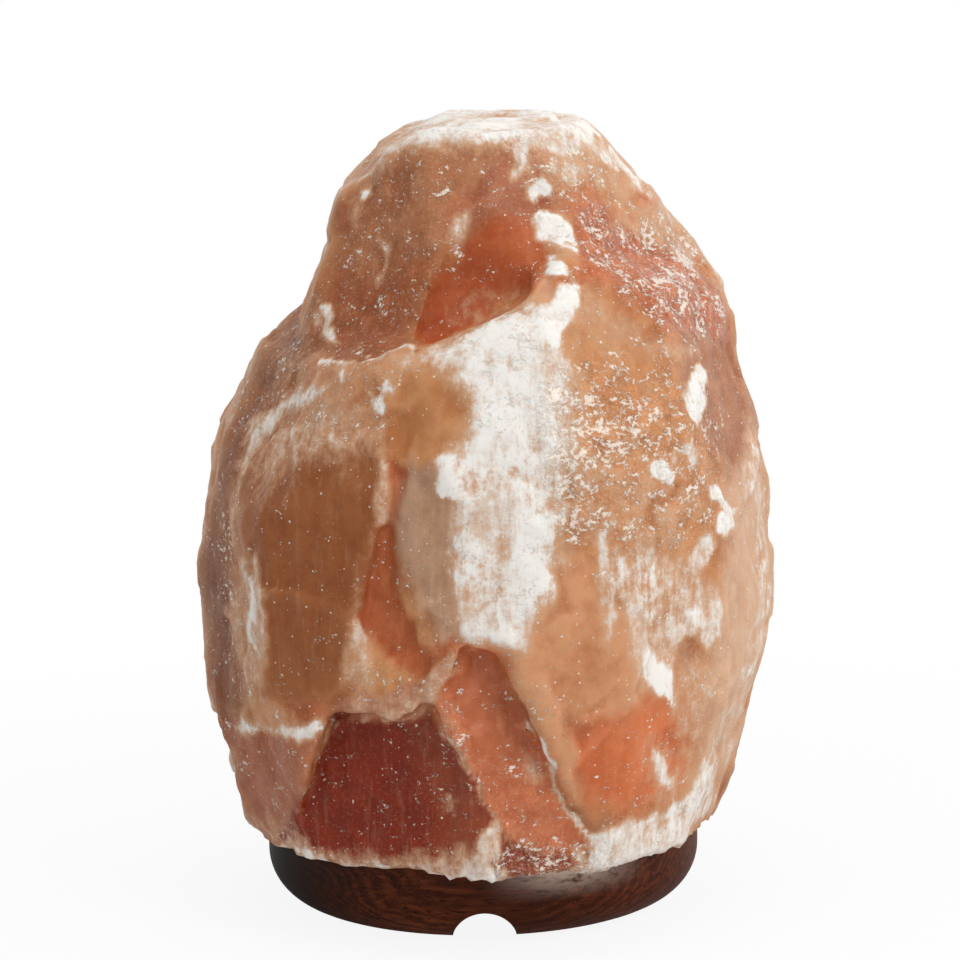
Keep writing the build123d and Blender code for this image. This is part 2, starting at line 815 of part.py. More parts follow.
with BuildPart() as lead_wires:
    with BuildLine() as lead_run:
        Line(
            (lead_spacing_at_stem / 2, 0, stem_top + lead_radius / 2),
            (lead_spacing_at_filament / 2, 0, filament_bottom),
        )
    with BuildSketch(Plane(origin=lead_run.line @ 0, z_dir=lead_run.line % 0)):
        Circle(lead_radius)
    sweep()
    mirror(about=Plane.YZ)

lead_wires.part.label = "lead_wires"
export_step(lead_wires.part, "parts/lead_wires.step")

with BuildPart() as filament:
    with BuildLine() as coil_run:
        ThreePointArc(
            (-lead_spacing_at_filament / 2, 0, filament_bottom + lead_radius),
            (0, 0, filament_bottom + filament_rise),
            (lead_spacing_at_filament / 2, 0, filament_bottom + lead_radius),
        )
    with BuildSketch(Plane(origin=coil_run.line @ 0, z_dir=coil_run.line % 0)):
        Circle(filament_radius)
    sweep()

filament.part.label = "filament"
export_step(filament.part, "parts/filament.step")

with BuildPart() as support_wire:
    with Locations((0, 0, stem_top)):
        Cylinder(
            support_wire_radius,
            lead_height + filament_rise - filament_radius,
            align=BOTTOM_UP,
        )

support_wire.part.label = "support_wire"
export_step(support_wire.part, "parts/support_wire.step")
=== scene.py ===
"""The looks of a salt crystal lamp: a rough block of pink rock salt on a turned, dark-stained
wooden base, with its small bulb and sprung holder inside.

Lengths are in metres where an object takes them, and in millimetres on the rock's skin and in
the finishes, where the detail is that small. +Z is up, the table is at z = 0 and the front of
the lamp faces -Y.
"""

import math

import bpy
import numpy as np
from mathutils import Euler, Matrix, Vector


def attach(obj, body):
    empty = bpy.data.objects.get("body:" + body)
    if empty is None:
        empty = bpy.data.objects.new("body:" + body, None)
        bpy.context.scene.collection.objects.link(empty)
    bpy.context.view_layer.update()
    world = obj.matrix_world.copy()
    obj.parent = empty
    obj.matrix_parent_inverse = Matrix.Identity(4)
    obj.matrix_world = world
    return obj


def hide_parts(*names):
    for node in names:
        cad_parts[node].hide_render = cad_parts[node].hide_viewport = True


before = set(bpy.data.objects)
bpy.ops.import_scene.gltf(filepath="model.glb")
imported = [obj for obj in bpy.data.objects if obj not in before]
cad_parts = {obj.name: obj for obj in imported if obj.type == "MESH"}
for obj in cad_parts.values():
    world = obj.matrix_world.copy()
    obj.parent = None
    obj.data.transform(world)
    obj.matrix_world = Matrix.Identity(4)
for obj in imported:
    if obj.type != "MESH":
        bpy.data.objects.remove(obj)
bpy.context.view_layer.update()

# ------------------------------------------------------------------ wooden base
# A disc of close-grained hardwood, turned on a lathe with a rolled side, bored for the bulb and
# notched for the cord. It is stained dark walnut and rubbed with a thin satin lacquer, through
# which the grain, which runs from left to right, and its fine dark pores still show.


millimetres = 1000.0  # in a metre


class Shade:
    """One output of a node in a finish. Arithmetic on it adds Math or Vector Math nodes."""

    def __init__(self, tree, socket=None):
        self.tree = tree
        self.socket = socket

    def node(self, kind, settings=None, sockets=None, output=0):
        """Any other node: first its settings, then the values or links of its sockets."""
        made = self.tree.nodes.new("ShaderNode" + kind)
        for setting, value in (settings or {}).items():
            setattr(made, setting, value)
        for name, value in (sockets or {}).items():
            if isinstance(value, Shade):
                self.tree.links.new(value.socket, made.inputs[name])
            else:
                made.inputs[name].default_value = value
        return Shade(self.tree, made.outputs[output] if made.outputs else None)

    def also(self, output):
        """Another output of the same node."""
        return Shade(self.tree, self.socket.node.outputs[output])

    def math(self, operation, *others):
        """A Math node on this and others or, where one is a place, a Vector Math node."""
        operands = (self, *others)
        spatial = any(
            isinstance(each, Shade) and each.socket.type == "VECTOR" for each in operands
        )
        if spatial:
            operands = [
                (each,) * 3 if isinstance(each, (int, float)) else each for each in operands
            ]
        kind = "VectorMath" if spatial else "Math"
        return self.node(kind, {"operation": operation}, dict(enumerate(operands)))

    def __add__(self, other):
        return self.math("ADD", other)

    def __sub__(self, other):
        return self.math("SUBTRACT", other)

    def __mul__(self, other):
        return self.math("MULTIPLY", other)

    def __rsub__(self, other):
        return self * -1.0 + other

    __radd__ = __add__

    def part(self, axis):
        """One of a place's three coordinates."""
        return self.node("SeparateXYZ", {}, {0: self}, output=axis)

    def rise(self, low, high):
        """0 below low, 1 above high, and a smooth rise between them."""
        return self.node(
            "MapRange",
            {"interpolation_type": "SMOOTHSTEP"},
            {"Value": self, "From Min": low, "From Max": high},
        )

    def tint(self, under, over):
        """The colour under where this mask is 0, and the colour over where it is 1."""
        return self.node("Mix", {"data_type": "RGBA"}, {0: self, 6: under, 7: over}, output=2)

    def scaled(self, red, green, blue):
        """This colour, with each of its channels times its own factor."""
        return self.node(
            "Mix", {"data_type": "RGBA", "blend_type": "MULTIPLY"},
            {0: 1.0, 6: self, 7: (red, green, blue, 1)}, output=2
        )

    def cloud(self, size, detail=3.0, rough=0.5):
        """Soft noise about 0.5, with lumps of this size in millimetres, over a place."""
        return self.node(
            "TexNoise", {},
            {"Vector": self, "Scale": 1 / size, "Detail": detail, "Roughness": rough},
        )

    def bump(self, depth):
        """A surface raised by this height, by up to a depth in millimetres."""
        return self.node(
            "Bump", {},
            {"Strength": 1.0, "Distance": depth / millimetres, "Height": self}, output="Normal"
        )

    def surface(self, sockets):
        """Ends the finish with one principled surface."""
        shader = self.node("BsdfPrincipled", {}, sockets)
        self.node("OutputMaterial", {}, {"Surface": shader})


def start_finish(name):
    """A new finish, and the place on the piece, in millimetres, that its nodes start from."""
    material = bpy.data.materials.new(name)
    material.use_nodes = True
    material.node_tree.nodes.clear()
    place = Shade(material.node_tree).node("TexCoord", output="Object") * millimetres
    return material, place


def colour(red, green, blue):
    """A colour given from 0 to 255 as a screen shows it, in the renderer's own units."""
    steps = (red / 255, green / 255, blue / 255)
    linear = [s / 12.92 if s <= 0.04045 else ((s + 0.055) / 1.055) ** 2.4 for s in steps]
    return (*linear, 1.0)


def dress(material, *nodes):
    """Gives a finish to pieces that keep the shape they have."""
    for name in nodes:
        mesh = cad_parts[name].data
        mesh.materials.clear()
        mesh.materials.append(material)


stained_wood, place = start_finish("dark stained hardwood")
ring_spacing = 2.3
pith_below = 46.0
pith_behind = 18.0
stretched = place * (0.05, 1.0, 1.0)
wander = stretched.cloud(16.0, 2.0)
behind = place.part(1) - pith_behind
above = place.part(2) + pith_below
from_pith = (behind * behind + above * above).math("SQRT")
rings = (from_pith + wander * 16.0) * (math.tau / ring_spacing)
early_wood = (rings.math("SINE") * 0.5 + 0.5) * 0.14 + stretched.cloud(1.6, 4.0, 0.7) * 0.85
pores = (place * (0.16, 1.0, 1.0)).cloud(0.55, 1.0).rise(0.60, 0.70)
blotches = place.cloud(21.0, 2.0).rise(0.35, 0.68)
stain = early_wood.rise(0.35, 0.75).tint(colour(64, 28, 14), colour(116, 58, 32))
stain = (blotches * 0.45).tint(stain, colour(50, 21, 12))
stain = (pores * 0.75).tint(stain, colour(24, 11, 8))
# Painted shade makes it nearly black towards the left end, and a pale painted highlight of the
# light on the lacquer lies on the rolled top edge at the front right
shaded_end = -62.0
shade_start = -18.0
highlight_middle = 23.0
highlight_reach = 25.0
stain = place.part(0).rise(shaded_end, shade_start).tint(colour(16, 9, 7), stain)
from_highlight = (place.part(0) - highlight_middle).math("ABSOLUTE")
painted_highlight = (1 - from_highlight.rise(1.0, highlight_reach)) * place.part(2).rise(13.0, 24.0)
painted_highlight = painted_highlight * (place.part(1) * -1.0).rise(20.0, 50.0)
painted_highlight = painted_highlight * stretched.cloud(2.0, 3.0, 0.7).rise(0.20, 0.55)
# The pale patch is a painted highlight, not wear
stain = (painted_highlight * 0.9).tint(stain, colour(230, 209, 195))
place.surface({
    "Base Color": stain,
    "Roughness": 0.42 + early_wood * 0.10,
    "Specular IOR Level": 0.04,
    "Coat Weight": 0.05,
    "Coat Roughness": 0.15,
    "Normal": (early_wood * 0.4 - pores).bump(0.06),
})
dress(stained_wood, "wooden_base")

# ------------------------------------------------------------------ foot pads
# Four round pads of soft black rubber, glued under the base so that it neither slips nor marks
# the table. Their faces are matt and slightly dusty.

foot_rubber, place = start_finish("black foot rubber")
dust = place.cloud(1.8, 4.0, 0.65)
place.surface({
    "Base Color": dust.rise(0.45, 0.75).tint(colour(30, 29, 28), colour(58, 56, 53)),
    "Roughness": 0.75 + dust * 0.2,
    "Normal": dust.bump(0.05),
})
dress(foot_rubber, "rubber_feet")

# ------------------------------------------------------------------ fixing screws and wall plugs
# Three cross-slotted wood screws of zinc-plated steel go up through the base into nylon plugs,
# which are pushed into holes drilled in the rock. The lamp holder's terminal screws are plated
# alike, and the screw that grips its cord is of the same nylon.

plated_steel, place = start_finish("zinc plated steel")
brushing = (place * (1.0, 1.0, 0.2)).cloud(0.35, 2.0)
bloom = place.cloud(3.0, 2.0)
place.surface({
    "Base Color": bloom.rise(0.4, 0.7).tint(colour(196, 194, 184), colour(214, 204, 172)),
    "Metallic": 1.0,
    "Roughness": 0.28 + brushing * 0.2,
    "Normal": brushing.bump(0.02),
})
dress(plated_steel, "fixing_screws", "terminal_screws")

plug_nylon, place = start_finish("grey nylon")
flow = (place * (1.0, 1.0, 0.3)).cloud(2.4, 2.0)
place.surface({
    "Base Color": flow.rise(0.3, 0.7).tint(colour(150, 150, 146), colour(172, 171, 166)),
    "Roughness": 0.42 + flow * 0.15,
    "Normal": flow.bump(0.03),
})
dress(plug_nylon, "wall_plugs", "grip_screw")

# ------------------------------------------------------------------ rock salt
# One block of natural rock salt, split from the seam along its cleavage, knocked roughly round
# and left as it broke. Clear orange, amber and maroon salt alternates with white crusts where
# the surface has bruised or dissolved and dried again, and edges are worn soft by damp air.

skin_pitch = 1.42
bore_wall = 25.0
bore_top = 133.0
underside = 27.0
cut_margin = 1.0
flat_margin = 0.7
wear_rounds = 8
rim_wear_rounds = 24
blur_rounds = 30

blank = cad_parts["salt_crystal"].copy()
blank.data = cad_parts["salt_crystal"].data.copy()
bpy.context.scene.collection.objects.link(blank)
remesh = blank.modifiers.new("skin", "REMESH")
remesh.mode = "VOXEL"
remesh.voxel_size = skin_pitch / millimetres
skin = bpy.data.meshes.new_from_object(blank.evaluated_get(bpy.context.evaluated_depsgraph_get()))
bpy.data.objects.remove(blank)


def places_of(mesh):
    """The mesh's corners in millimetres."""
    flat = np.zeros(len(mesh.vertices) * 3)
    mesh.vertices.foreach_get("co", flat)
    return flat.reshape(-1, 3) * millimetres


def outward(mesh, places):
    """The direction out of the rock at each corner, with the corners at these places."""
    mesh.vertices.foreach_set("co", (places / millimetres).ravel())
    mesh.update()
    flat = np.zeros(len(mesh.vertices) * 3)
    mesh.vertex_normals.foreach_get("vector", flat)
    return flat.reshape(-1, 3)


flat_edges = np.zeros(len(skin.edges) * 2, np.int64)
skin.edges.foreach_get("vertices", flat_edges)
edge_starts, edge_ends = flat_edges.reshape(-1, 2).T
neighbours = np.bincount(flat_edges, minlength=len(skin.vertices))[:, None]
wear_hold = 0.4


def worn(values, rounds):
    """Values at the corners, smoothed with their neighbours a number of times."""
    for _ in range(rounds):
        total = np.zeros_like(values)
        for axis in range(values.shape[1]):
            total[:, axis] = np.bincount(edge_starts, values[edge_ends, axis], len(values))
            total[:, axis] += np.bincount(edge_ends, values[edge_starts, axis], len(values))
        values = values * wear_hold + total / neighbours * (1 - wear_hold)
    return values


def from_axis(points):
    """How far points are from the upright axis of the lamp, in millimetres."""
    return np.hypot(points[:, 0], points[:, 1])


def ramp(values, start, width):
    """0 up to the start, and from there a straight climb to 1 over the width."""
    return np.clip((values - start) / width, 0, 1)


def dice(cells, seed):
    """A number from 0 to 1 for each whole-number cell, the same on every run."""
    mixed = cells[:, 0] * 73856093 ^ cells[:, 1] * 19349663 ^ cells[:, 2] * 83492791
    mixed = mixed ^ seed * 40503
    mixed = (mixed ^ mixed >> 13) * 1274126177 & 0xFFFFFFFF
    mixed = (mixed ^ mixed >> 15) * 2246822519 & 0xFFFFFFFF
    return (mixed ^ mixed >> 16 & 0xFFFF) % 65521 / 65521


def swell(points, size, seed):
    """Smooth random relief from -1 to 1, in lumps of this size in millimetres."""
    corner = np.floor(points / size).astype(np.int64)
    across = points / size - corner
    across = across * across * (3 - 2 * across)
    total = np.zeros(len(points))
    for step in np.ndindex(2, 2, 2):
        share = np.where(step, across, 1 - across).prod(axis=1)
        total += share * dice(corner + step, seed)
    return 2 * total - 1


def chips(points, size, seed):
    """Flat chipped facets of this size in millimetres, each tipped its own way, about 0."""
    home = np.floor(points / size).astype(np.int64)
    nearest = np.full(len(points), np.inf)
    height = np.zeros(len(points))
    for step in np.ndindex(3, 3, 3):
        cell = home + step - 1
        middle = np.stack([dice(cell, seed + axis) for axis in range(3)], axis=1) + cell
        lean = np.stack([dice(cell, seed + 3 + axis) for axis in range(3)], axis=1) - 0.5
        offset = points / size - middle
        distance = (offset**2).sum(axis=1)
        closer = distance < nearest
        nearest[closer] = distance[closer]
        facet = (offset * lean).sum(axis=1) * 2 + dice(cell, seed + 6) - 0.5
        height[closer] = facet[closer]
    return height


start_places = places_of(skin)
start_heights = start_places[:, 2]
bored = from_axis(start_places) < bore_wall + cut_margin
bored &= start_heights < bore_top + cut_margin
cut_flat = start_heights < underside + flat_margin
kept = (bored | cut_flat)[:, None]
soft_places = worn(start_places, wear_rounds)
# The rim round the underside is nibbled away in places
rim_inside = 50.0
nibbled = np.clip(0.2 + swell(start_places, 7.0, 16) + 0.8 * swell(start_places, 3.0, 17), 0, 1)
nibbled *= ramp(from_axis(start_places), rim_inside, 5.0)
rim_places = worn(start_places, rim_wear_rounds)
flat_places = start_places + (rim_places - start_places) * nibbled[:, None]
places = np.where(kept, flat_places, soft_places)
places = np.where(bored[:, None], start_places, places)
rounder = worn(places, blur_rounds)
normals = outward(skin, places)
# How far each point stands out of the rock about it: edges above 0, hollows below
standing = ((places - rounder) * normals).sum(axis=1)

# What the front looks like is given on an upright sheet through the lamp's axis, as someone
# standing a metre in front sees it: x to the right of the axis and z above the table.
eye = np.array((0.0, -1000.0, 272.0))
reach = -eye[1] / (places[:, 1] - eye[1])
threads = swell(places * (1, 1, 0.15), 2.6, 15)
wobble_across = swell(places, 9.0, 11) * 1.5 + swell(places, 3.2, 12) * 0.9
wobble_up = swell(places, 9.0, 13) * 1.5 + swell(places, 3.2, 14) * 0.9 + threads * 1.6
sheet = np.stack([places[:, 0] * reach, eye[2] + (places[:, 2] - eye[2]) * reach], axis=1)
sheet += np.stack([wobble_across, wobble_up], axis=1)
to_eye = eye - places
facing = (normals * to_eye).sum(axis=1) / np.linalg.norm(to_eye, axis=1)
seen = ramp(facing, -0.05, 0.25)


def patch(outline, soft):
    """1 inside an outline on the front and 0 outside it, over an edge of this softness in mm."""
    corners = np.array(outline, float)
    near = np.all(
        (sheet > corners.min(axis=0) - soft) & (sheet < corners.max(axis=0) + soft), axis=1
    ) & (seen > 0)
    spots = sheet[near]
    gap = np.full(len(spots), np.inf)
    inside = np.zeros(len(spots), bool)
    for start, end in zip(corners, np.roll(corners, -1, axis=0)):
        run = end - start
        away = spots - start
        along = np.clip(away @ run / (run @ run), 0, 1)
        gap = np.minimum(gap, np.hypot(*(away - along[:, None] * run).T))
        spans = (start[1] > spots[:, 1]) != (end[1] > spots[:, 1])
        rise = run[1] if run[1] else 1.0
        inside ^= spans & (spots[:, 0] < start[0] + away[:, 1] * run[0] / rise)
    share = np.zeros(len(sheet))
    share[near] = np.clip(0.5 + np.where(inside, gap, -gap) / soft, 0, 1)
    return share * seen


# Clear salt, by the colour that shows in its depth
clay = colour(166, 110, 76)
ember = colour(180, 94, 54)
peach = colour(208, 154, 118)
salmon = colour(182, 100, 58)
amber = colour(194, 136, 90)
bark = colour(150, 90, 52)
dusk = colour(128, 82, 56)
honey = colour(190, 136, 98)
rust = colour(186, 106, 66)
putty = colour(178, 142, 118)
rose = colour(166, 104, 76)
glow = colour(208, 118, 74)
maroon = colour(130, 39, 8)
russet = colour(140, 64, 38)
chestnut = colour(152, 88, 54)
apricot = colour(204, 146, 106)
brick = colour(194, 114, 76)
bisque = colour(206, 168, 138)

# The faces, hollows and windows of the front, each by its outline on that sheet
outlines = {
    "upper left": ((-20, 224), (-34, 211), (-39, 195), (-42, 185), (-48, 172), (-42, 162),
                   (-40, 157), (-19, 160), (-13, 177), (-8, 192), (-1, 206), (9, 220), (-6, 226)),
    "throat": ((-16, 160), (-15, 170), (-10, 182), (-5, 184), (-2, 190), (6, 197), (16, 199),
               (16, 188), (15, 176), (8, 177), (4, 169), (-3, 167), (-10, 162)),
    "pane": ((16, 173), (18, 180), (21, 184), (23, 181), (23, 175), (20, 173)),
    "pane top": ((16, 197), (20, 195), (22, 188), (19, 182), (16, 178)),
    "wet slope": ((28, 200), (36, 202), (47, 192), (62, 186), (71, 173), (72, 160), (64, 162),
                  (53, 166), (42, 174), (33, 184), (29, 191)),
    "under wet slope": ((24, 177), (33, 180), (39, 172), (55, 163), (71, 160), (72, 150),
                        (61, 155), (47, 160), (36, 165), (29, 168)),
    "right slope": ((25, 168), (47, 159), (73, 153), (81, 136), (84, 115), (74, 104), (70, 86),
                    (50, 98), (35, 98), (24, 110), (20, 125), (24, 145)),
    "slab": ((-62, 135), (-51, 139), (-38, 135), (-26, 139), (-25, 126), (-25, 111), (-30, 104),
             (-33, 88), (-36, 76), (-39, 61), (-53, 57), (-64, 60), (-63, 88), (-67, 100),
             (-67, 123)),
    "left side": ((-50, 175), (-61, 162), (-68, 147), (-73, 135), (-76, 126), (-79, 112),
                  (-81, 94), (-80, 77), (-77, 59), (-70, 50), (-69, 59), (-70, 77), (-71, 100),
                  (-70, 118), (-66, 133), (-62, 142), (-50, 154), (-45, 161)),
    "shelf": ((-44, 154), (-40, 157), (-29, 157), (-18, 159), (-9, 164), (-13, 159), (-22, 153),
              (-30, 150), (-38, 146), (-44, 145), (-51, 147)),
    "amber dish": ((-24, 148), (-20, 152), (-10, 153), (-6, 148), (-4, 140), (-8, 132),
                   (-16, 128), (-24, 130), (-26, 140)),
    "deep strip": ((-25, 128), (-19, 126), (-22, 117), (-26, 104), (-25, 88), (-17, 76),
                   (-15, 68), (-22, 66), (-30, 73), (-35, 78), (-36, 82), (-33, 88), (-30, 99),
                   (-29, 107), (-25, 110)),
    "grey strip": ((-19, 128), (-11, 125), (-5, 117), (-5, 99), (-7, 75), (-14, 76), (-17, 87),
                   (-23, 99), (-24, 111), (-22, 120)),
    "pink lip": ((-42, 58), (-35, 61), (-28, 61), (-18, 66), (-9, 71), (-1, 73), (-3, 67),
                 (-12, 61), (-16, 53), (-24, 51), (-28, 50), (-32, 53), (-38, 52), (-44, 48),
                 (-46, 52)),
    "column bed": ((-6, 117), (8, 122), (24, 116), (22, 87), (14, 71), (0, 74), (-6, 74)),
    "smooth right": ((16, 87), (24, 103), (31, 98), (35, 87), (46, 83), (48, 72), (58, 69),
                     (61, 57), (46, 51), (35, 51), (23, 54), (17, 60), (14, 68), (7, 71),
                     (12, 78)),
    "glowing right": ((20, 45), (32, 51), (46, 53), (61, 57), (62, 45), (61, 33), (52, 27),
                      (40, 23), (34, 26), (27, 32), (22, 37)),
    "maroon hollow": ((-42, 54), (-32, 53), (-28, 50), (-18, 53), (-14, 54), (-6, 41), (1, 28),
                      (8, 15), (20, 9), (33, 7), (32, 3), (-1, 1), (-25, 4), (-45, 8), (-61, 17),
                      (-55, 29), (-50, 36), (-47, 45), (-44, 48)),
    "beside the wedge": ((3, 76), (9, 66), (15, 53), (20, 43), (22, 31), (29, 26), (26, 44),
                         (21, 58), (14, 70), (7, 78)),
    "dark crystals": ((8, 15), (20, 11), (33, 14), (37, 8), (33, 3), (6, 2), (2, 10)),
    "reddened": ((-22, 50), (-14, 54), (-6, 41), (1, 28), (8, 15), (33, 7), (32, 3), (-1, 1),
                 (-14, 3), (-12, 24)),
    "red wedge": ((-5, 75), (1, 74), (7, 66), (9, 63), (13, 53), (18, 43), (20, 31), (25, 24),
                  (32, 15), (33, 8), (20, 10), (8, 15), (1, 28), (-6, 41), (-14, 54), (-12, 61),
                  (-7, 67)),
    "low left": ((-71, 48), (-64, 50), (-53, 47), (-48, 44), (-50, 36), (-53, 29), (-60, 20),
                 (-65, 20), (-69, 24), (-72, 32), (-72, 41)),
    "upper left foot": ((-48, 172), (-42, 162), (-40, 158), (-19, 160), (-13, 177), (-9, 190),
                        (-20, 188), (-30, 184), (-40, 184)),
    "upper middle": ((-8, 192), (-1, 206), (9, 220), (20, 219), (24, 205), (20, 197), (16, 198),
                     (6, 197), (-2, 190)),
    "right shoulder": ((58, 165), (72, 160), (80, 140), (76, 120), (66, 130), (58, 150)),
    "right edge": ((76, 144), (82, 133), (85, 109), (85, 80), (80, 56), (74, 42), (63, 27),
                   (61, 30), (64, 45), (67, 68), (70, 86), (74, 104), (72, 121)),
}

# Colour of the clear salt over the front: outline, colour and softness of its edge in mm
tints = (
    ("upper left", clay, 8), ("upper left foot", chestnut, 8), ("upper middle", rose, 5),
    ("throat", ember, 4), ("pane", peach, 1.5), ("pane top", salmon, 2),
    ("wet slope", salmon, 6), ("under wet slope", honey, 4), ("right slope", amber, 8),
    ("slab", bark, 7), ("left side", dusk, 10), ("shelf", honey, 2), ("amber dish", amber, 3),
    ("deep strip", rust, 2.5), ("grey strip", putty, 5), ("pink lip", rose, 2),
    ("column bed", bisque, 5), ("smooth right", apricot, 5), ("glowing right", glow, 9),
    # The apricot beside the wedge is painted light, lifting the shade of the crease there
    ("maroon hollow", maroon, 1.6), ("reddened", russet, 9), ("beside the wedge", apricot, 3),
    ("red wedge", brick, 1.6), ("dark crystals", russet, 2), ("low left", rose, 3),
    ("right edge", bisque, 5), ("right shoulder", clay, 6),
)

drift = swell(places, 46.0, 21) + 0.6 * swell(places, 17.0, 22)
warmth = swell(places, 33.0, 23) + 0.5 * swell(places, 12.0, 24)


def stained(under, over, share):
    """The colours under, each covered by this share of the one colour over."""
    share = share[:, None]
    return under * (1 - share) + np.array(over[:3]) * share


tint = np.tile(amber[:3], (len(places), 1))
for layer, shade, low in (
    (drift, clay, 0.1), (-drift, bisque, 0.35), (warmth, rust, 0.30), (-warmth, chestnut, 0.45),
):
    tint = stained(tint, shade, ramp(layer, low, 0.4))
for name, shade, soft in tints:
    tint = stained(tint, shade, patch(outlines[name], soft))

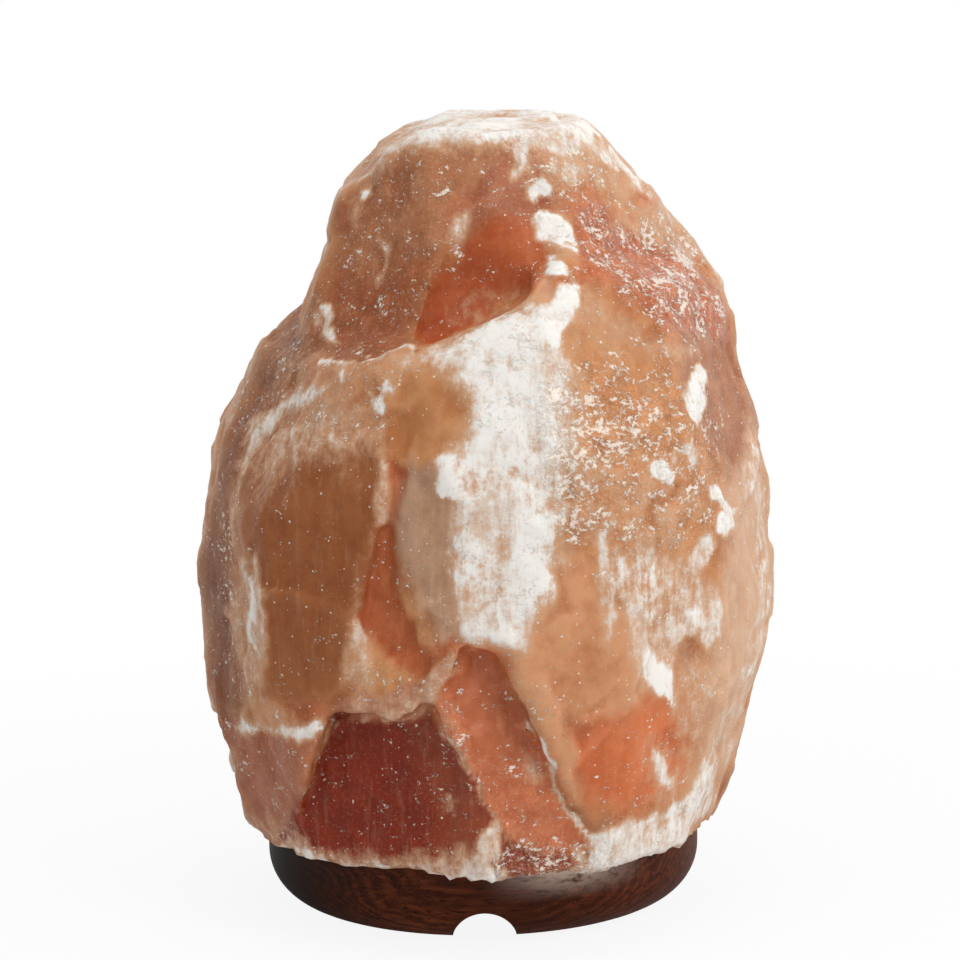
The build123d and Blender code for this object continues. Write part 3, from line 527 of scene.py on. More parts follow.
# White crust over the front: how thick it lies, from 0 to 1, the softness of its edge, and
# its outline
crusts = (
    (0.80, 3, ((-20, 224), (-9, 228), (10, 229), (25, 227), (34, 224), (37, 219), (32, 216),
               (25, 219), (14, 222), (3, 223), (-5, 219), (-14, 221), (-19, 219))),
    (0.60, 3, ((-35, 210), (-27, 219), (-20, 225), (-13, 226), (-6, 223), (-5, 219), (-9, 216),
               (-14, 219), (-19, 219), (-25, 214), (-29, 210), (-33, 208))),
    (0.74, 3, ((28, 224), (37, 221), (45, 215), (51, 205), (52, 201), (47, 204), (42, 209),
               (37, 213), (33, 216), (28, 219))),
    (0.75, 2, ((12, 223), (25, 223), (33, 218), (29, 214), (22, 216), (16, 216), (12, 213),
               (10, 217))),
    (0.72, 1.5, ((10, 218), (16, 217), (16, 214), (13, 209), (10, 205), (9, 208), (11, 212))),
    (0.85, 1, ((15, 209), (19, 210), (22, 207), (20, 204), (17, 204), (15, 206))),
    (0.64, 1.5, ((24, 215), (30, 214), (32, 211), (29, 206), (26, 205), (23, 209))),
    (0.90, 1, ((-32.5, 205.5), (-28.5, 206.5), (-28, 203.5), (-32, 202.5))),
    (0.62, 2, ((-6, 196), (-1, 201), (0, 197), (-1, 191), (-4, 185), (-6.5, 190))),
    (0.55, 1.5, ((-27.5, 192.5), (-24.5, 192), (-26, 185.5), (-28, 179), (-29.5, 181.5),
                 (-28, 187.5))),
    (0.95, 1, ((17, 201), (21.5, 201), (25.5, 198.5), (28, 194), (31, 188.5), (30, 187),
               (26.5, 189), (22.5, 191.5), (19, 193), (17, 197))),
    (0.85, 1, ((21, 187.5), (23.5, 187), (26.5, 182), (24.5, 181.5), (21, 183.5))),
    (0.95, 1.5, ((21.5, 174.5), (24.5, 178.5), (27.5, 181), (30, 179), (30.5, 174), (28.5, 168),
                 (26, 165.5), (24.5, 160), (20, 161), (16.5, 165.5), (15, 169), (19.5, 170.5),
                 (22, 172))),
    (0.88, 1, ((-45.5, 175), (-41.5, 174.5), (-41, 169), (-42, 166), (-39.5, 161.5), (-42, 160.5),
               (-44.5, 164.5), (-43.5, 169.5))),
    (0.60, 1.5, ((-48, 172), (-44.5, 174), (-43.5, 167.5), (-46, 166))),
    (0.85, 0.7, ((-40, 156), (-37, 156.5), (-38, 151.5), (-39.5, 151))),
    (0.95, 0.5, ((-45, 156.5), (-38, 158), (-30, 158.5), (-18, 160.5), (-18, 159.3), (-30, 157.3),
                 (-38, 156.8), (-45, 155.3))),
    (0.84, 9, ((-18, 158), (-10, 163), (-1, 168), (7, 173), (16, 174), (21, 171), (23, 165),
               (24, 159), (24, 151), (23, 145), (24, 139), (19, 133), (18, 125), (12, 121),
               (6, 120), (0, 121), (-3, 119), (-6, 115), (-11, 117), (-12, 125), (-8, 131),
               (-4, 137), (-3, 142), (-4, 148), (-8, 152), (-13, 155), (-20, 154), (-22, 156))),
    (0.93, 6, ((1, 165), (16, 171), (22, 165), (21, 151), (17, 139), (6, 131), (-2, 125),
               (-8, 122), (-2, 137), (0, 148), (-4, 157))),
    (0.97, 5, ((10, 116), (15, 117), (19, 115), (21, 110), (21, 98), (20, 90), (16, 85), (14, 80),
               (13, 74), (10, 71), (7, 74), (7, 84), (8, 96), (8, 107))),
    (0.88, 4, ((-6.5, 75), (-6, 83.5), (0, 86.5), (7.5, 87), (10.5, 81.5), (15, 75), (12, 71),
               (6, 73.5), (0, 75), (-4.5, 73))),
    (0.85, 0.8, ((-6.5, 75), (-6.5, 99.5), (-5, 99.5), (-5, 75))),
    # The next two thin lines are painted highlights, along a glassy ridge and a crack that catch
    # the light
    (0.85, 0.6, ((12.3, 53), (17.2, 43), (19.2, 31), (24.3, 23.5), (31.5, 14.5), (34, 15),
                 (26.8, 24.8), (21.2, 31.5), (19.2, 43.3), (14, 53.5))),
    (0.50, 0.5, ((-14.5, 53.5), (-6.6, 40.6), (0.3, 27.6), (7.2, 14), (8.6, 14.4), (1.6, 28.4),
                 (-5.4, 41.4), (-13.5, 54.3))),
    (0.78, 1, ((3, 114), (4.5, 114.5), (5.5, 104.5), (4, 97), (2, 99), (1.5, 107.5))),
    (0.88, 3, ((-50, 149), (-53, 147), (-60, 143), (-63, 140), (-66, 133), (-67, 126), (-65, 126),
               (-63, 132), (-61, 137), (-55, 142), (-49, 145), (-44, 149), (-43, 152),
               (-47, 150))),
    (0.60, 1.5, ((-67.5, 128), (-68.5, 123.5), (-69.5, 116), (-71, 107.5), (-70, 104),
                 (-68, 111.5), (-66.5, 120.5), (-65.5, 127))),
    (0.50, 8, ((-43, 151), (-37, 146), (-30, 150), (-27, 146), (-26, 140), (-28, 134), (-36, 134),
               (-45, 137), (-51, 140), (-51, 145))),
    (0.85, 1, ((-32, 149), (-28, 148.5), (-26, 143.5), (-28, 141.5), (-31, 144.5))),
    (0.90, 0.8, ((-27, 151), (-24, 151.5), (-22.5, 149), (-25.5, 147), (-27.5, 147.5))),
    (0.58, 2, ((-69, 100), (-62.5, 98.5), (-61, 88), (-62, 73.5), (-67, 71), (-69, 82.5))),
    (0.88, 1, ((-68, 94), (-65.5, 94), (-64.5, 85.5), (-66, 73), (-68, 76))),
    (0.38, 1, ((-30, 135), (-25, 125.5), (-24.5, 117), (-26, 108.5), (-29, 109.5), (-30, 118.5),
               (-29, 127))),
    (0.50, 3, ((-38, 80), (-34, 82.5), (-31, 76), (-31, 60.5), (-35, 59.5), (-40.5, 61.5),
               (-39.5, 70))),
    (0.97, 0.6, ((60.5, 150.5), (63, 155), (66.5, 152.5), (66.5, 144.5), (65.5, 137),
                 (63.5, 136.5), (60, 141))),
    (0.97, 0.6, ((50.5, 129), (54, 127), (58, 121.5), (56, 119.5), (52, 120.5), (49.5, 125))),
    (0.66, 1, ((54, 129.5), (61.5, 134), (64.5, 131.5), (65, 125.5), (62.5, 124), (60.5, 127),
               (58, 127), (57, 124), (55, 126.5))),
    (0.97, 0.6, ((66, 119), (70.5, 117), (75, 113), (73.5, 109), (71, 104), (68.5, 104.5),
                 (69, 109), (71, 112), (68.5, 114), (66.5, 115.5))),
    (0.72, 0.8, ((63, 104), (67.5, 105), (69, 100.5), (66.5, 96), (63.5, 94), (62, 99.5))),
    (0.68, 1.5, ((32.5, 106.5), (37, 105.5), (38.5, 98.5), (37.5, 89.5), (38.5, 80.5), (37, 74),
                 (35, 75), (36, 86.5), (34.5, 94), (32.5, 98.5))),
    (0.66, 1.5, ((48, 98), (52.5, 101), (54.5, 95), (53.5, 86.5), (51, 80.5), (46.5, 78.5),
                 (46, 86.5), (49.5, 91))),
    (0.97, 1, ((46.5, 70), (50.5, 71.5), (53.5, 67.5), (57, 65.5), (56.5, 56.5), (52.5, 56),
               (49, 60), (46.5, 64.5))),
    (0.74, 1, ((54.5, 81), (61, 83), (68, 86.5), (70.5, 84.5), (70.5, 74), (67.5, 70.5),
               (64, 75.5), (61, 74), (58, 71), (54, 74.5))),
    (0.92, 1.5, ((-5.5, 129.5), (-4.5, 116.5), (-11, 115.5), (-13, 119.5), (-12, 129))),
    (0.78, 2.5, ((30, 5), (30, 16), (37, 20), (49, 22), (60, 30), (63, 40), (69, 40), (68, 26),
                 (61, 15), (46, 7))),
    (0.74, 2, ((-66, 21), (-59, 17), (-45, 13), (-30, 11), (-13, 8), (-1, 10), (7, 7), (5, 2),
               (-1, 1), (-24, 5), (-45, 8), (-64, 17))),
    (0.80, 1, ((49, 42.5), (53.5, 42), (55.5, 37.5), (54.5, 31), (50.5, 30), (51, 35.5))),
    (0.50, 1.5, ((10.5, 42.5), (15.5, 43.5), (17.5, 38), (16.5, 33), (11, 32.5))),
    (0.50, 1, ((-12, 29.5), (-9, 30.5), (-8, 25), (-11, 22.5))),
    (0.62, 1.5, ((0, 17), (4, 25), (6.5, 19), (5, 9), (-1, 7), (-3.5, 12))),
    (0.80, 1.5, ((-69.5, 54), (-64, 50.5), (-55.5, 50), (-48.5, 52), (-45, 49.5), (-47.5, 45.5),
                 (-53, 45.5), (-58.5, 47.5), (-66, 49), (-69, 48), (-71.5, 50.5))),
    (0.50, 2, ((-15.5, 87.5), (-8.5, 88.5), (-6.5, 75.5), (-11.5, 74), (-15, 78.5))),
    (0.62, 3, ((78, 135), (82, 129), (85, 109), (86, 80), (81, 59), (76, 46), (74, 50), (77, 74),
               (79, 103), (75, 124))),
    (0.60, 2, ((70, 56), (77, 59), (74, 44), (67, 29), (63, 27), (65, 38))),
)

# Milky veils over the front, where the salt under the skin is full of fine cracks: how dense,
# the softness of the edge, and the outline
veils = (
    (0.75, 12, ((-22, 154), (-13, 160), (-1, 167), (13, 174), (24, 174), (29, 162), (31, 145),
                (30, 122), (26, 104), (22, 87), (16, 76), (-6, 75), (-8, 87), (-9, 99), (-10, 117),
                (-9, 125), (-4, 134), (-2, 146), (-7, 154))),
    (0.52, 12, ((-65, 126), (-62, 139), (-51, 146), (-38, 146), (-25, 143), (-26, 131), (-37, 128),
                (-51, 126), (-62, 117))),
    (0.38, 6, ((-21, 123), (-11, 124), (-5, 117), (-6, 87), (-7, 73), (-12, 76), (-14, 87),
               (-20, 99), (-23, 111))),
    (0.38, 12, ((24, 134), (41, 133), (58, 130), (64, 115), (61, 98), (49, 86), (41, 98), (32, 98),
                (26, 104))),
    (0.62, 5, ((35, 98), (47, 104), (64, 98), (71, 86), (70, 71), (61, 74), (55, 57), (46, 57),
               (41, 75))),
    (0.58, 3, ((32, 110), (39, 110), (39, 87), (38, 72), (35, 72), (33, 87))),
    (0.48, 4, ((75, 141), (81, 133), (85, 109), (85, 74), (80, 56), (77, 56), (74, 74), (76, 98),
               (74, 115), (77, 130))),
    (0.45, 5, ((-20, 217), (-15, 226), (2, 230), (25, 229), (36, 222), (42, 214), (33, 212),
               (25, 217), (8, 218), (-6, 217))),
    (0.42, 8, ((9, 223), (34, 221), (48, 208), (52, 201), (42, 202), (31, 205), (19, 203),
               (11, 206))),
    (0.40, 3, ((36, 198), (50, 201), (62, 192), (65, 183), (59, 182), (50, 188), (42, 191))),
    (0.42, 6, ((-36, 203), (-29, 215), (-18, 222), (-12, 220), (-21, 213), (-28, 206), (-32, 195),
               (-37, 192))),
    (0.48, 4, ((-71, 100), (-63, 103), (-61, 88), (-62, 70), (-66, 59), (-71, 65), (-74, 82))),
    (0.36, 3, ((-73, 59), (-64, 62), (-53, 54), (-41, 52), (-40, 58), (-29, 61), (-18, 64),
               (-9, 73), (-6, 67), (-15, 55), (-27, 50), (-41, 55), (-47, 48), (-53, 45),
               (-67, 48))),
    (0.50, 5, ((-65, 24), (-54, 14), (-25, 7), (-1, 4), (6, 4), (4, 14), (-1, 16), (-13, 12),
               (-30, 13), (-48, 15))),
    (0.55, 4, ((36, 8), (46, 8), (63, 21), (69, 36), (64, 39), (58, 27), (38, 17))),
    (0.50, 6, ((56, 68), (66, 72), (70, 56), (66, 42), (58, 46), (55, 57))),
    (0.42, 8, ((46, 45), (64, 45), (69, 39), (68, 27), (61, 21), (49, 18), (46, 27))),
    (0.28, 5, ((-53, 172), (-44, 175), (-40, 166), (-39, 159), (-47, 155), (-53, 146), (-62, 141),
               (-65, 138), (-59, 155))),
    (0.34, 3, ((-68, 138), (-50, 154), (-40, 154), (-42, 148), (-51, 146), (-62, 139), (-67, 126),
               (-70, 106), (-72, 106), (-70, 123))),
    (0.45, 4, ((25, 181), (33, 178), (39, 171), (50, 163), (64, 160), (64, 155), (50, 158),
               (39, 164), (33, 168), (29, 169))),
    (0.30, 12, ((-60, 138), (-28, 138), (-28, 124), (-60, 122))),
    (0.45, 3, ((24, 15), (33, 16), (35, 4), (26, 4))),
    (0.38, 3, ((-41, 61), (-38, 76), (-34, 82), (-33, 73), (-32, 61))),
    (0.42, 3, ((10, 44), (18, 42), (18, 32), (11, 32))),
    (0.40, 3, ((-12, 31), (-7, 29), (-7, 22), (-13, 22))),
    (0.40, 3, ((-10, 170), (3, 177), (16, 178), (16, 173), (3, 170), (-7, 166))),
)

frost_behind = 0.36 + 0.36 * swell(places, 24.0, 31) + 0.24 * swell(places, 8.0, 32)
frost_behind += np.clip(standing, -1, 2) * 0.16 + np.clip(normals[:, 2] - 0.5, 0, 1) * 0.4
frost_ahead = 0.02 + 0.10 * swell(places, 9.0, 33) + np.clip(standing, 0, 2) * 0.06


def covered(mask, marks):
    """A mask raised, inside each mark's outline, to at least the mark's own level."""
    for level, soft, outline in marks:
        mask = np.maximum(mask, level * patch(outline, soft))
    return mask


frost = frost_behind * (1 - seen) + frost_ahead * seen
crust_fringe = 1.0
frost = covered(frost, [(level, soft + crust_fringe, outline) for level, soft, outline in crusts])
# The crown is bruised all over
crown_low = 216.0
crown = ramp(start_heights, crown_low, 8.0) * (0.82 + 0.2 * swell(places, 9.0, 34))
frost = covered(np.maximum(frost, crown), veils)

# Where the skin is wet-looking and chipped, and where it is broken and full of bright flecks,
# which are painted glints
wet = ramp(swell(places, 30.0, 41), 0.3, 1.0) * (1 - seen)
wet = covered(wet, (
    (1.00, 4, outlines["wet slope"]), (0.25, 3, outlines["maroon hollow"]),
    (0.50, 3, outlines["red wedge"]), (1.00, 2, outlines["dark crystals"]),
    (0.50, 3, outlines["pink lip"]), (0.25, 6, outlines["right slope"]),
))
flecked = 0.25 + 0.25 * swell(places, 14.0, 42)
flecked = covered(flecked, (
    (0.80, 12, ((18, 160), (36, 158), (59, 153), (72, 139), (72, 104), (47, 98), (35, 98),
                (24, 103), (17, 125))),
    (1.10, 10, ((18, 150), (36, 154), (47, 145), (50, 130), (35, 122), (35, 104), (23, 99),
                (18, 116), (17, 134))),
    (1.00, 4, ((45, 198), (62, 198), (68, 184), (59, 181), (47, 188))),
    (0.75, 8, ((9, 223), (25, 223), (39, 214), (42, 202), (25, 201), (13, 206))),
    (0.60, 4, ((-16, 61), (-9, 61), (-3, 46), (4, 28), (-1, 23), (-8, 37), (-15, 47))),
    (1.00, 2, ((2, 23), (8, 16), (24, 16), (34, 18), (40, 10), (34, 3), (0, 3))),
    (0.35, 8, outlines["upper left"]), (0.95, 6, outlines["wet slope"]),
))
dark_salt = patch(outlines["maroon hollow"], 1) > patch(outlines["dark crystals"], 1)
flecked = np.where(dark_salt, 0.12, flecked)
for name, level in (
    ("slab", 0.02), ("smooth right", 0.05), ("throat", 0.10), ("amber dish", 0.02),
    ("deep strip", 0.10), ("grey strip", 0.05), ("pane", 0.0), ("glowing right", 0.10),
):
    share = patch(outlines[name], 3)
    flecked = flecked * (1 - share) + level * share

# How far marks stand proud of the face about them, and the softness of their edge, in mm
raised = (
    ("slab", 1.2, 2), ("deep strip", -1.6, 2), ("amber dish", -1.0, 6), ("pink lip", 1.2, 2),
    ("red wedge", 0.6, 1.2), ("beside the wedge", 1.6, 4), ("pane", -0.8, 1.5),
    ("shelf", 0.4, 2), ("column bed", 0.8, 4),
)
crust_thickness = 0.35
relief = swell(places, 30.0, 51) + swell(places, 12.0, 52) * 0.5
relief += swell(places, 5.0, 53) * 0.22 + swell(places, 2.7, 54) * 0.12
relief += chips(places, 24.0, 61) * (1.4 - 0.6 * seen)
relief += chips(places, 9.0, 71) * (0.6 - 0.35 * seen + 0.5 * flecked)
relief += chips(places, 6.0, 81) * wet
relief += swell(places * (1, 1, 0.2), 3.2, 55) * 0.3
for name, height, soft in raised:
    relief += patch(outlines[name], soft) * height
for level, soft, outline in crusts:
    relief += patch(outline, soft) * level * crust_thickness
relief += patch(outlines["pink lip"], 2) * swell(places, 5.0, 56) * 1.2
# Knocks in the outline, seen from the front: middle, reach and depth in mm. Each runs this many
# times further from front to back than across.
knock_length = 8
for x, z, size, depth in (
    (-75, 48, 5, 3.4), (-78, 59, 8, 1.6), (-80, 81, 14, 1.3), (-31, 216, 7, 2.2),
    (-44, 197, 9, 1.2), (67, 184, 6, 2.8), (73, 160, 9, 1.2), (-69, 27, 6, -1.2),
    (80, 121, 8, -1.0),
):
    away = (places[:, 0] - x) ** 2 + (places[:, 2] - z) ** 2 + (places[:, 1] / knock_length) ** 2
    relief -= depth * np.exp(-away / size**2)
relief[kept[:, 0]] = 0
near_cut = ramp(places[:, 2], underside, 2.5)
places = places + normals * (relief * near_cut)[:, None]
places = np.where(kept, places, worn(places, 1))
places[:, 2] = np.maximum(places[:, 2], underside)
# Ragged teeth hang a little where the rim overhangs the base
base_rim = 61.5
teeth_top = underside + 9.0
overhang = ramp(from_axis(places), base_rim, 2.5)
teeth = overhang * np.clip((teeth_top - places[:, 2]) / (teeth_top - underside), 0, 1)
places[:, 2] -= teeth * (1.3 + 1.3 * swell(start_places, 8.0, 18))
normals = outward(skin, places)
# How the finished skin stands to what is close about it, from 0 in a crease to 1 on an edge
edges = np.clip(0.5 + ((places - worn(places, 8)) * normals).sum(axis=1) * 1.1, 0, 1)

skin.shade_smooth()
rock = bpy.data.objects.new("rough_salt_block", skin)
bpy.context.scene.collection.objects.link(rock)
for name, values in (("frost", frost), ("wet", wet), ("flecked", flecked), ("edges", edges)):
    skin.attributes.new(name, "FLOAT", "POINT").data.foreach_set("value", np.clip(values, 0, 1))
with_alpha = np.concatenate([tint, np.ones((len(tint), 1))], axis=1)
skin.attributes.new("tint", "FLOAT_COLOR", "POINT").data.foreach_set("color", with_alpha.ravel())

rock_salt, place = start_finish("pink rock salt")
clear = place.node("Attribute", {"attribute_name": "tint"}, output="Color")
frost_mask, edge_mask, wet_mask, fleck_mask = (
    place.node("Attribute", {"attribute_name": name}, output="Fac")
    for name in ("frost", "edges", "wet", "flecked")
)
grit = place.cloud(1.0, 3.0, 0.7)
crumbs = place.cloud(3.4, 4.0, 0.65)
fibres = (place * (1.0, 1.0, 0.13)).cloud(1.9, 3.0, 0.6)
depths = place.cloud(16.0, 3.0)
# Clear salt, darker where it is deep and, as painted shade, in its creases; peppered where it is
# broken, with upright fibres
broken = fleck_mask * 0.95 + 0.05
darker = clear.scaled(0.80, 0.66, 0.56)
deep = (depths * 0.6 + crumbs * 0.4 - edge_mask * 0.3).rise(0.22, 0.50).tint(clear, darker)
tumbled = place + (place.cloud(4.0, 2.0) - 0.5) * 3.0
flakes = place.node("TexVoronoi", {}, {"Vector": tumbled, "Scale": 1 / 4.5}, output="Distance")
lighter = deep.scaled(1.3, 1.24, 1.18)
flaked = (flakes.also("Color").part(0).rise(0.2, 1.0) * broken).tint(deep, lighter)
peppered = (broken * grit.rise(0.50, 0.66) * 0.40).tint(flaked, colour(232, 184, 146))
peppered = (broken * (1 - grit).rise(0.54, 0.68) * 0.28).tint(peppered, colour(150, 84, 54))
fibrous = (fibres.rise(0.5, 0.75) * 0.10).tint(peppered, colour(222, 176, 146))
# Bruised salt: a thin veil lets the colour through, and a thick crust is white
bruise = frost_mask + (crumbs - 0.5) * 0.75 + (grit - 0.5) * 0.35 + (edge_mask - 0.5) * 0.3
bruise = bruise + (fibres - 0.5) * (frost_mask * 0.7 + 0.1)
hazy = (bruise.rise(0.12, 0.66) * 0.85).tint(fibrous, colour(204, 160, 126))
pale = (bruise.rise(0.48, 0.82) * 0.9).tint(hazy, colour(220, 204, 190))
white = (bruise + (depths - 0.5) * 0.6).rise(0.66, 1.0)
bare = white.tint(pale, colour(238, 234, 228))
# Painted glints: bright specks where the light catches broken crystals, in ragged drifts, and
# small round painted sparkles
swirl = place + (place.cloud(9.0, 1.0) - 0.5) * 3.0
drifts = (swirl * (0.7, 1.0, 1.2)).cloud(6.5, 3.0, 0.6)
glint_noise = (swirl * (0.9, 1.0, 1.3)).cloud(1.7, 4.0, 0.8)
painted_glint = (glint_noise + drifts * 0.5 + fleck_mask * 0.15).rise(0.91, 0.965)
speck = place.node("TexVoronoi", {}, {"Vector": place, "Scale": 1 / 2.2}, output="Distance")
painted_sparkle = (speck.also("Color").part(0) * 0.18 - speck).rise(0.0, 0.04)
painted_glints = painted_glint.math("MAXIMUM", painted_sparkle * 0.7)
skin_colour = (painted_glints * 0.8).tint(bare, colour(250, 238, 224))
place.surface({
    "Base Color": skin_colour,
    "Roughness": 0.44 + white * 0.34 - wet_mask * 0.24 - painted_glints * 0.1,
    "Specular IOR Level": 0.15,
    "Coat Weight": wet_mask * 0.3,
    "Coat Roughness": 0.1,
    "Subsurface Weight": 0.15,
    "Subsurface Radius": (1.0, 0.45, 0.25),
    "Subsurface Scale": 0.003,
    "Normal": (
        (grit * 0.4 + crumbs + flakes * 0.6) * broken + flakes * wet_mask * 0.5 + painted_glints * 0.12
    ).bump(1.2),
})
skin.materials.clear()
skin.materials.append(rock_salt)
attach(rock, "lamp_body")
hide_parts("salt_crystal")

# ------------------------------------------------------------------ lamp holder
# Black moulded shell in two halves, a knurled ring nut that pinches the steel clip against the
# flange, and a bush with a nylon grub screw that grips the cord.

holder_plastic, place = start_finish("black moulded plastic")
pebble = place.cloud(0.5, 3.0, 0.6)
handling = place.cloud(7.0, 2.0)
place.surface({
    "Base Color": handling.rise(0.4, 0.75).tint(colour(27, 27, 28), colour(40, 39, 38)),
    "Roughness": 0.34 + handling * 0.2,
    "Normal": pebble.bump(0.03),
})
dress(holder_plastic, "entry_bush", "holder_cap", "holder_skirt", "ring_nut")

# ------------------------------------------------------------------ sprung clip
# A strip of spring steel, blued a little where it was tempered and scratched lengthwise where
# it drags on the salt.

spring_steel, place = start_finish("tempered spring steel")
scratches = (place * (1.0, 0.3, 0.12)).cloud(0.4, 2.0, 0.7)
temper = place.cloud(9.0, 2.0)
place.surface({
    "Base Color": temper.rise(0.4, 0.7).tint(colour(182, 180, 176), colour(148, 146, 152)),
    "Metallic": 1.0,
    "Roughness": 0.25 + scratches * 0.25,
    "Normal": scratches.bump(0.02),
})
dress(spring_steel, "clip_plate", "left_clip_arm", "right_clip_arm")

# ------------------------------------------------------------------ contacts and their block
# The block is unglazed white steatite. The contacts, terminals, rivets and the screw shell are
# pressed brass, rubbed bright on the ridges and dull in the grooves.

steatite, place = start_finish("white steatite")
grain = place.cloud(0.7, 4.0, 0.6)
place.surface({
    "Base Color": grain.rise(0.35, 0.7).tint(colour(226, 221, 210), colour(240, 237, 229)),
    "Roughness": 0.5 + grain * 0.2,
    "Normal": grain.bump(0.04),
})
dress(steatite, "contact_block")

brass, place = start_finish("pressed brass")
tarnish = place.cloud(2.6, 3.0, 0.6)
lines = (place * (0.3, 0.3, 1.0)).cloud(0.3, 2.0)
place.surface({
    "Base Color": tarnish.rise(0.4, 0.72).tint(colour(214, 180, 106), colour(170, 132, 70)),
    "Metallic": 1.0,
    "Roughness": 0.22 + tarnish * 0.25,
    "Normal": lines.bump(0.015),
})
dress(brass, "centre_contact", "terminals", "screw_shell", "shell_rivets")

# ------------------------------------------------------------------ bulb
# A small clear bulb: a rolled, nickel-plated cap with a black glass insulator and a blob of
# solder at its tip, and a thin blown envelope round a glass stem that carries the filament.

nickel, place = start_finish("rolled nickel plate")
rolled = (place * (0.2, 0.2, 1.0)).cloud(0.4, 2.0)
dulled = place.cloud(2.0)
place.surface({
    "Base Color": dulled.rise(0.4, 0.7).tint(colour(206, 202, 190), colour(184, 178, 162)),
    "Metallic": 1.0,
    "Roughness": 0.2 + rolled * 0.2,
    "Normal": rolled.bump(0.02),
})
dress(nickel, "bulb_cap", "lead_wires")

solder, place = start_finish("dull solder")
dimples = place.cloud(1.1, 3.0)
place.surface({
    "Base Color": dimples.rise(0.4, 0.7).tint(colour(168, 168, 170), colour(196, 196, 198)),
    "Metallic": 1.0,
    "Roughness": 0.4 + dimples * 0.2,
    "Normal": dimples.bump(0.08),
})
dress(solder, "bulb_contact")

vitrite, place = start_finish("black cap glass")
flow = place.cloud(2.2, 2.0)
place.surface({
    "Base Color": flow.rise(0.4, 0.7).tint(colour(26, 22, 30), colour(44, 38, 52)),
    "Roughness": 0.08 + flow * 0.1,
    "Normal": flow.bump(0.05),
})
dress(vitrite, "bulb_insulator")

blown_glass, place = start_finish("blown glass")
ripple = place.cloud(9.0, 1.0)
place.surface({
    "Base Color": ripple.rise(0.3, 0.7).tint(colour(250, 250, 248), colour(244, 247, 246)),
    "Roughness": 0.02,
    "IOR": 1.5,
    "Transmission Weight": 1.0,
    "Normal": ripple.bump(0.05),
})
dress(blown_glass, "bulb_glass", "bulb_stem")

tungsten, place = start_finish("drawn tungsten")
drawn = place.cloud(0.4, 2.0)
place.surface({
    "Base Color": drawn.rise(0.4, 0.7).tint(colour(92, 92, 96), colour(124, 124, 128)),
    "Metallic": 1.0,
    "Roughness": 0.3 + drawn * 0.2,
    "Normal": drawn.bump(0.01),
})
dress(tungsten, "filament", "support_wire")

# ------------------------------------------------------------------ studio
# A white table in a white room, lit softly from the right, the front and above, with the
# camera a metre in front and a little above the rock.

studio = bpy.context.scene
white_level = 1.0
room_light = 0.52


def looks(tree):
    """Two masks: rays straight from the camera, and rays that metal or glass sends on."""
    straight = Shade(tree).node("LightPath", output="Is Camera Ray")
    glossy = straight.also("Is Glossy Ray")
    return straight, glossy.math("MAXIMUM", straight.also("Is Transmission Ray"))


room = bpy.data.worlds.new("white room")
room.use_nodes = True
room.node_tree.nodes.clear()
straight, sent_on = looks(room.node_tree)
shown = straight.math("MAXIMUM", sent_on)
brightness = room_light + shown * (white_level - room_light)
backdrop = brightness.node("Background", {}, {"Color": (1, 1, 1, 1), "Strength": brightness})
backdrop.node("OutputWorld", {}, {"Surface": backdrop})
studio.world = room

table_reach = 3.0
table_mesh = bpy.data.meshes.new("table")
corner_signs = ((-1, -1), (1, -1), (1, 1), (-1, 1))
table_corners = [(x * table_reach, y * table_reach, 0.0) for x, y in corner_signs]
table_mesh.from_pydata(table_corners, [], [(0, 1, 2, 3)])
table = bpy.data.objects.new("table", table_mesh)
studio.collection.objects.link(table)
# White from above with a faint shadow, and out of the way of a look from below. The room's
# light passes through it right under the lamp, so that the underside isn't lost in the dark.
table_white = bpy.data.materials.new("white table")
table_white.use_nodes = True
table_white.node_tree.nodes.clear()
laid = Shade(table_white.node_tree)
matt = laid.node("BsdfDiffuse", {}, {"Color": (0.86, 0.86, 0.86, 1)})
lit = laid.node("Emission", {}, {"Color": (1, 1, 1, 1), "Strength": white_level})
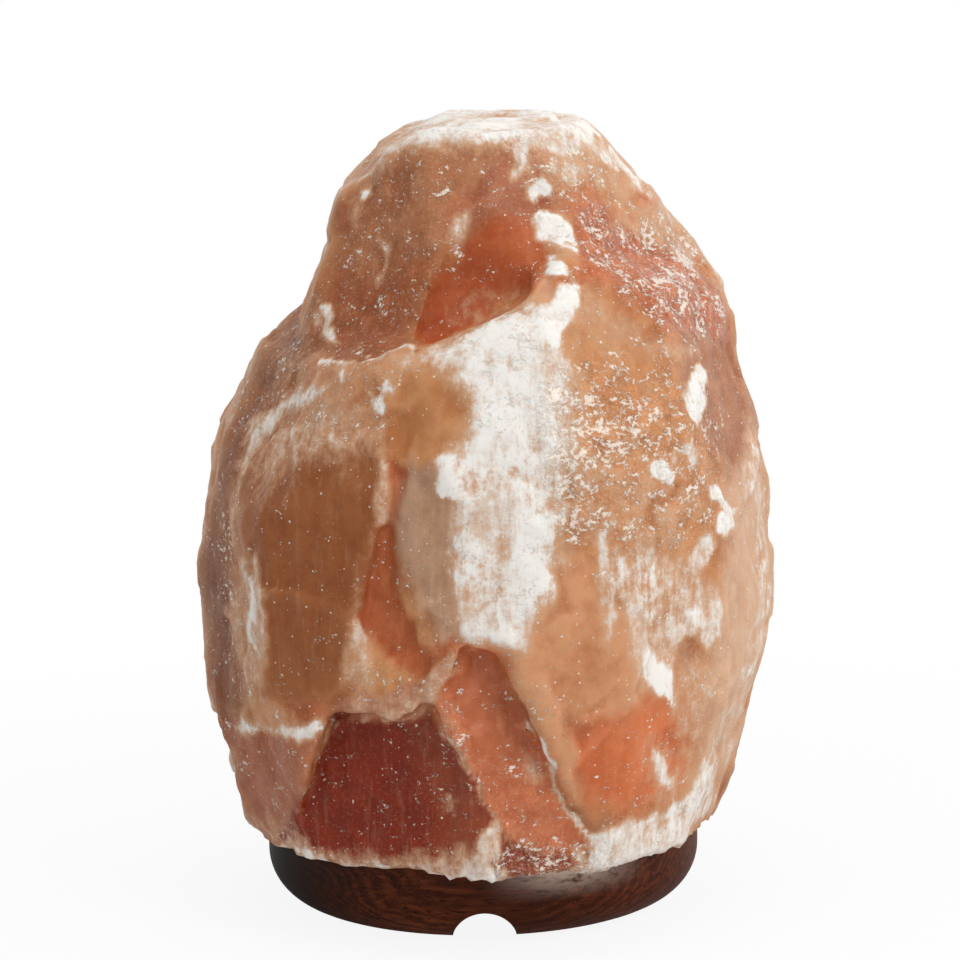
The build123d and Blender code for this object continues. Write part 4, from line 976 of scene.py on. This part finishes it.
# The shadow fades out into plain white away from the lamp, in reflections too
shadow_depth = 0.1
shadow_near = 0.1
shadow_far = 0.45
from_middle = laid.node("NewGeometry", output="Position").math("LENGTH").also("Value")
away = from_middle.rise(shadow_near, shadow_far)
straight, sent_on = looks(table_white.node_tree)
plain = (straight * (away * shadow_depth + (1 - shadow_depth))).math("MAXIMUM", sent_on * away)
from_above = laid.node("MixShader", {}, {0: plain, 1: matt, 2: lit})
open_air = laid.node("BsdfTransparent")
gap_radius = 0.055
gap_fringe = 0.02
under_lamp = 1 - from_middle.rise(gap_radius, gap_radius + gap_fringe)
right_under = under_lamp * straight.also("Is Diffuse Ray")
open_to_light = laid.node("NewGeometry", output="Backfacing").math("MAXIMUM", right_under)
laid.node(
    "OutputMaterial", {},
    {"Surface": laid.node("MixShader", {}, {0: open_to_light, 1: from_above, 2: open_air})},
)
table_mesh.materials.append(table_white)

rock_middle = Vector((0.0, 0.0, 0.12))
for name, spot, size, watts in (
    ("key light", (0.75, -0.95, 0.85), 0.5, 6.4),
    ("side light", (1.0, 0.25, 0.35), 0.6, 2.0),
    ("top light", (0.0, -0.2, 1.3), 0.8, 5.0),
):
    lamp = bpy.data.lights.new(name, "AREA")
    lamp.size = size
    lamp.energy = watts
    holder = bpy.data.objects.new(name, lamp)
    holder.location = spot
    holder.rotation_euler = (rock_middle - Vector(spot)).to_track_quat("-Z", "Y").to_euler()
    studio.collection.objects.link(holder)

camera_place = Vector((0.0, -1.0, 0.2722))
camera_aim = Vector((0.0, 0.0, 0.1223))
camera_roll = math.radians(0.93)
picture_width = 960
off_centre = 2.6
lens = bpy.data.cameras.new("camera")
lens.sensor_width = 36.0
lens.lens = 131.7
lens.shift_x = off_centre / picture_width
camera = bpy.data.objects.new("camera", lens)
camera.location = camera_place
aim = (camera_aim - camera_place).to_track_quat("-Z", "Y")
camera.rotation_euler = (aim @ Euler((0.0, 0.0, -camera_roll)).to_quaternion()).to_euler()
studio.collection.objects.link(camera)
studio.camera = camera
studio.view_settings.view_transform = "Standard"
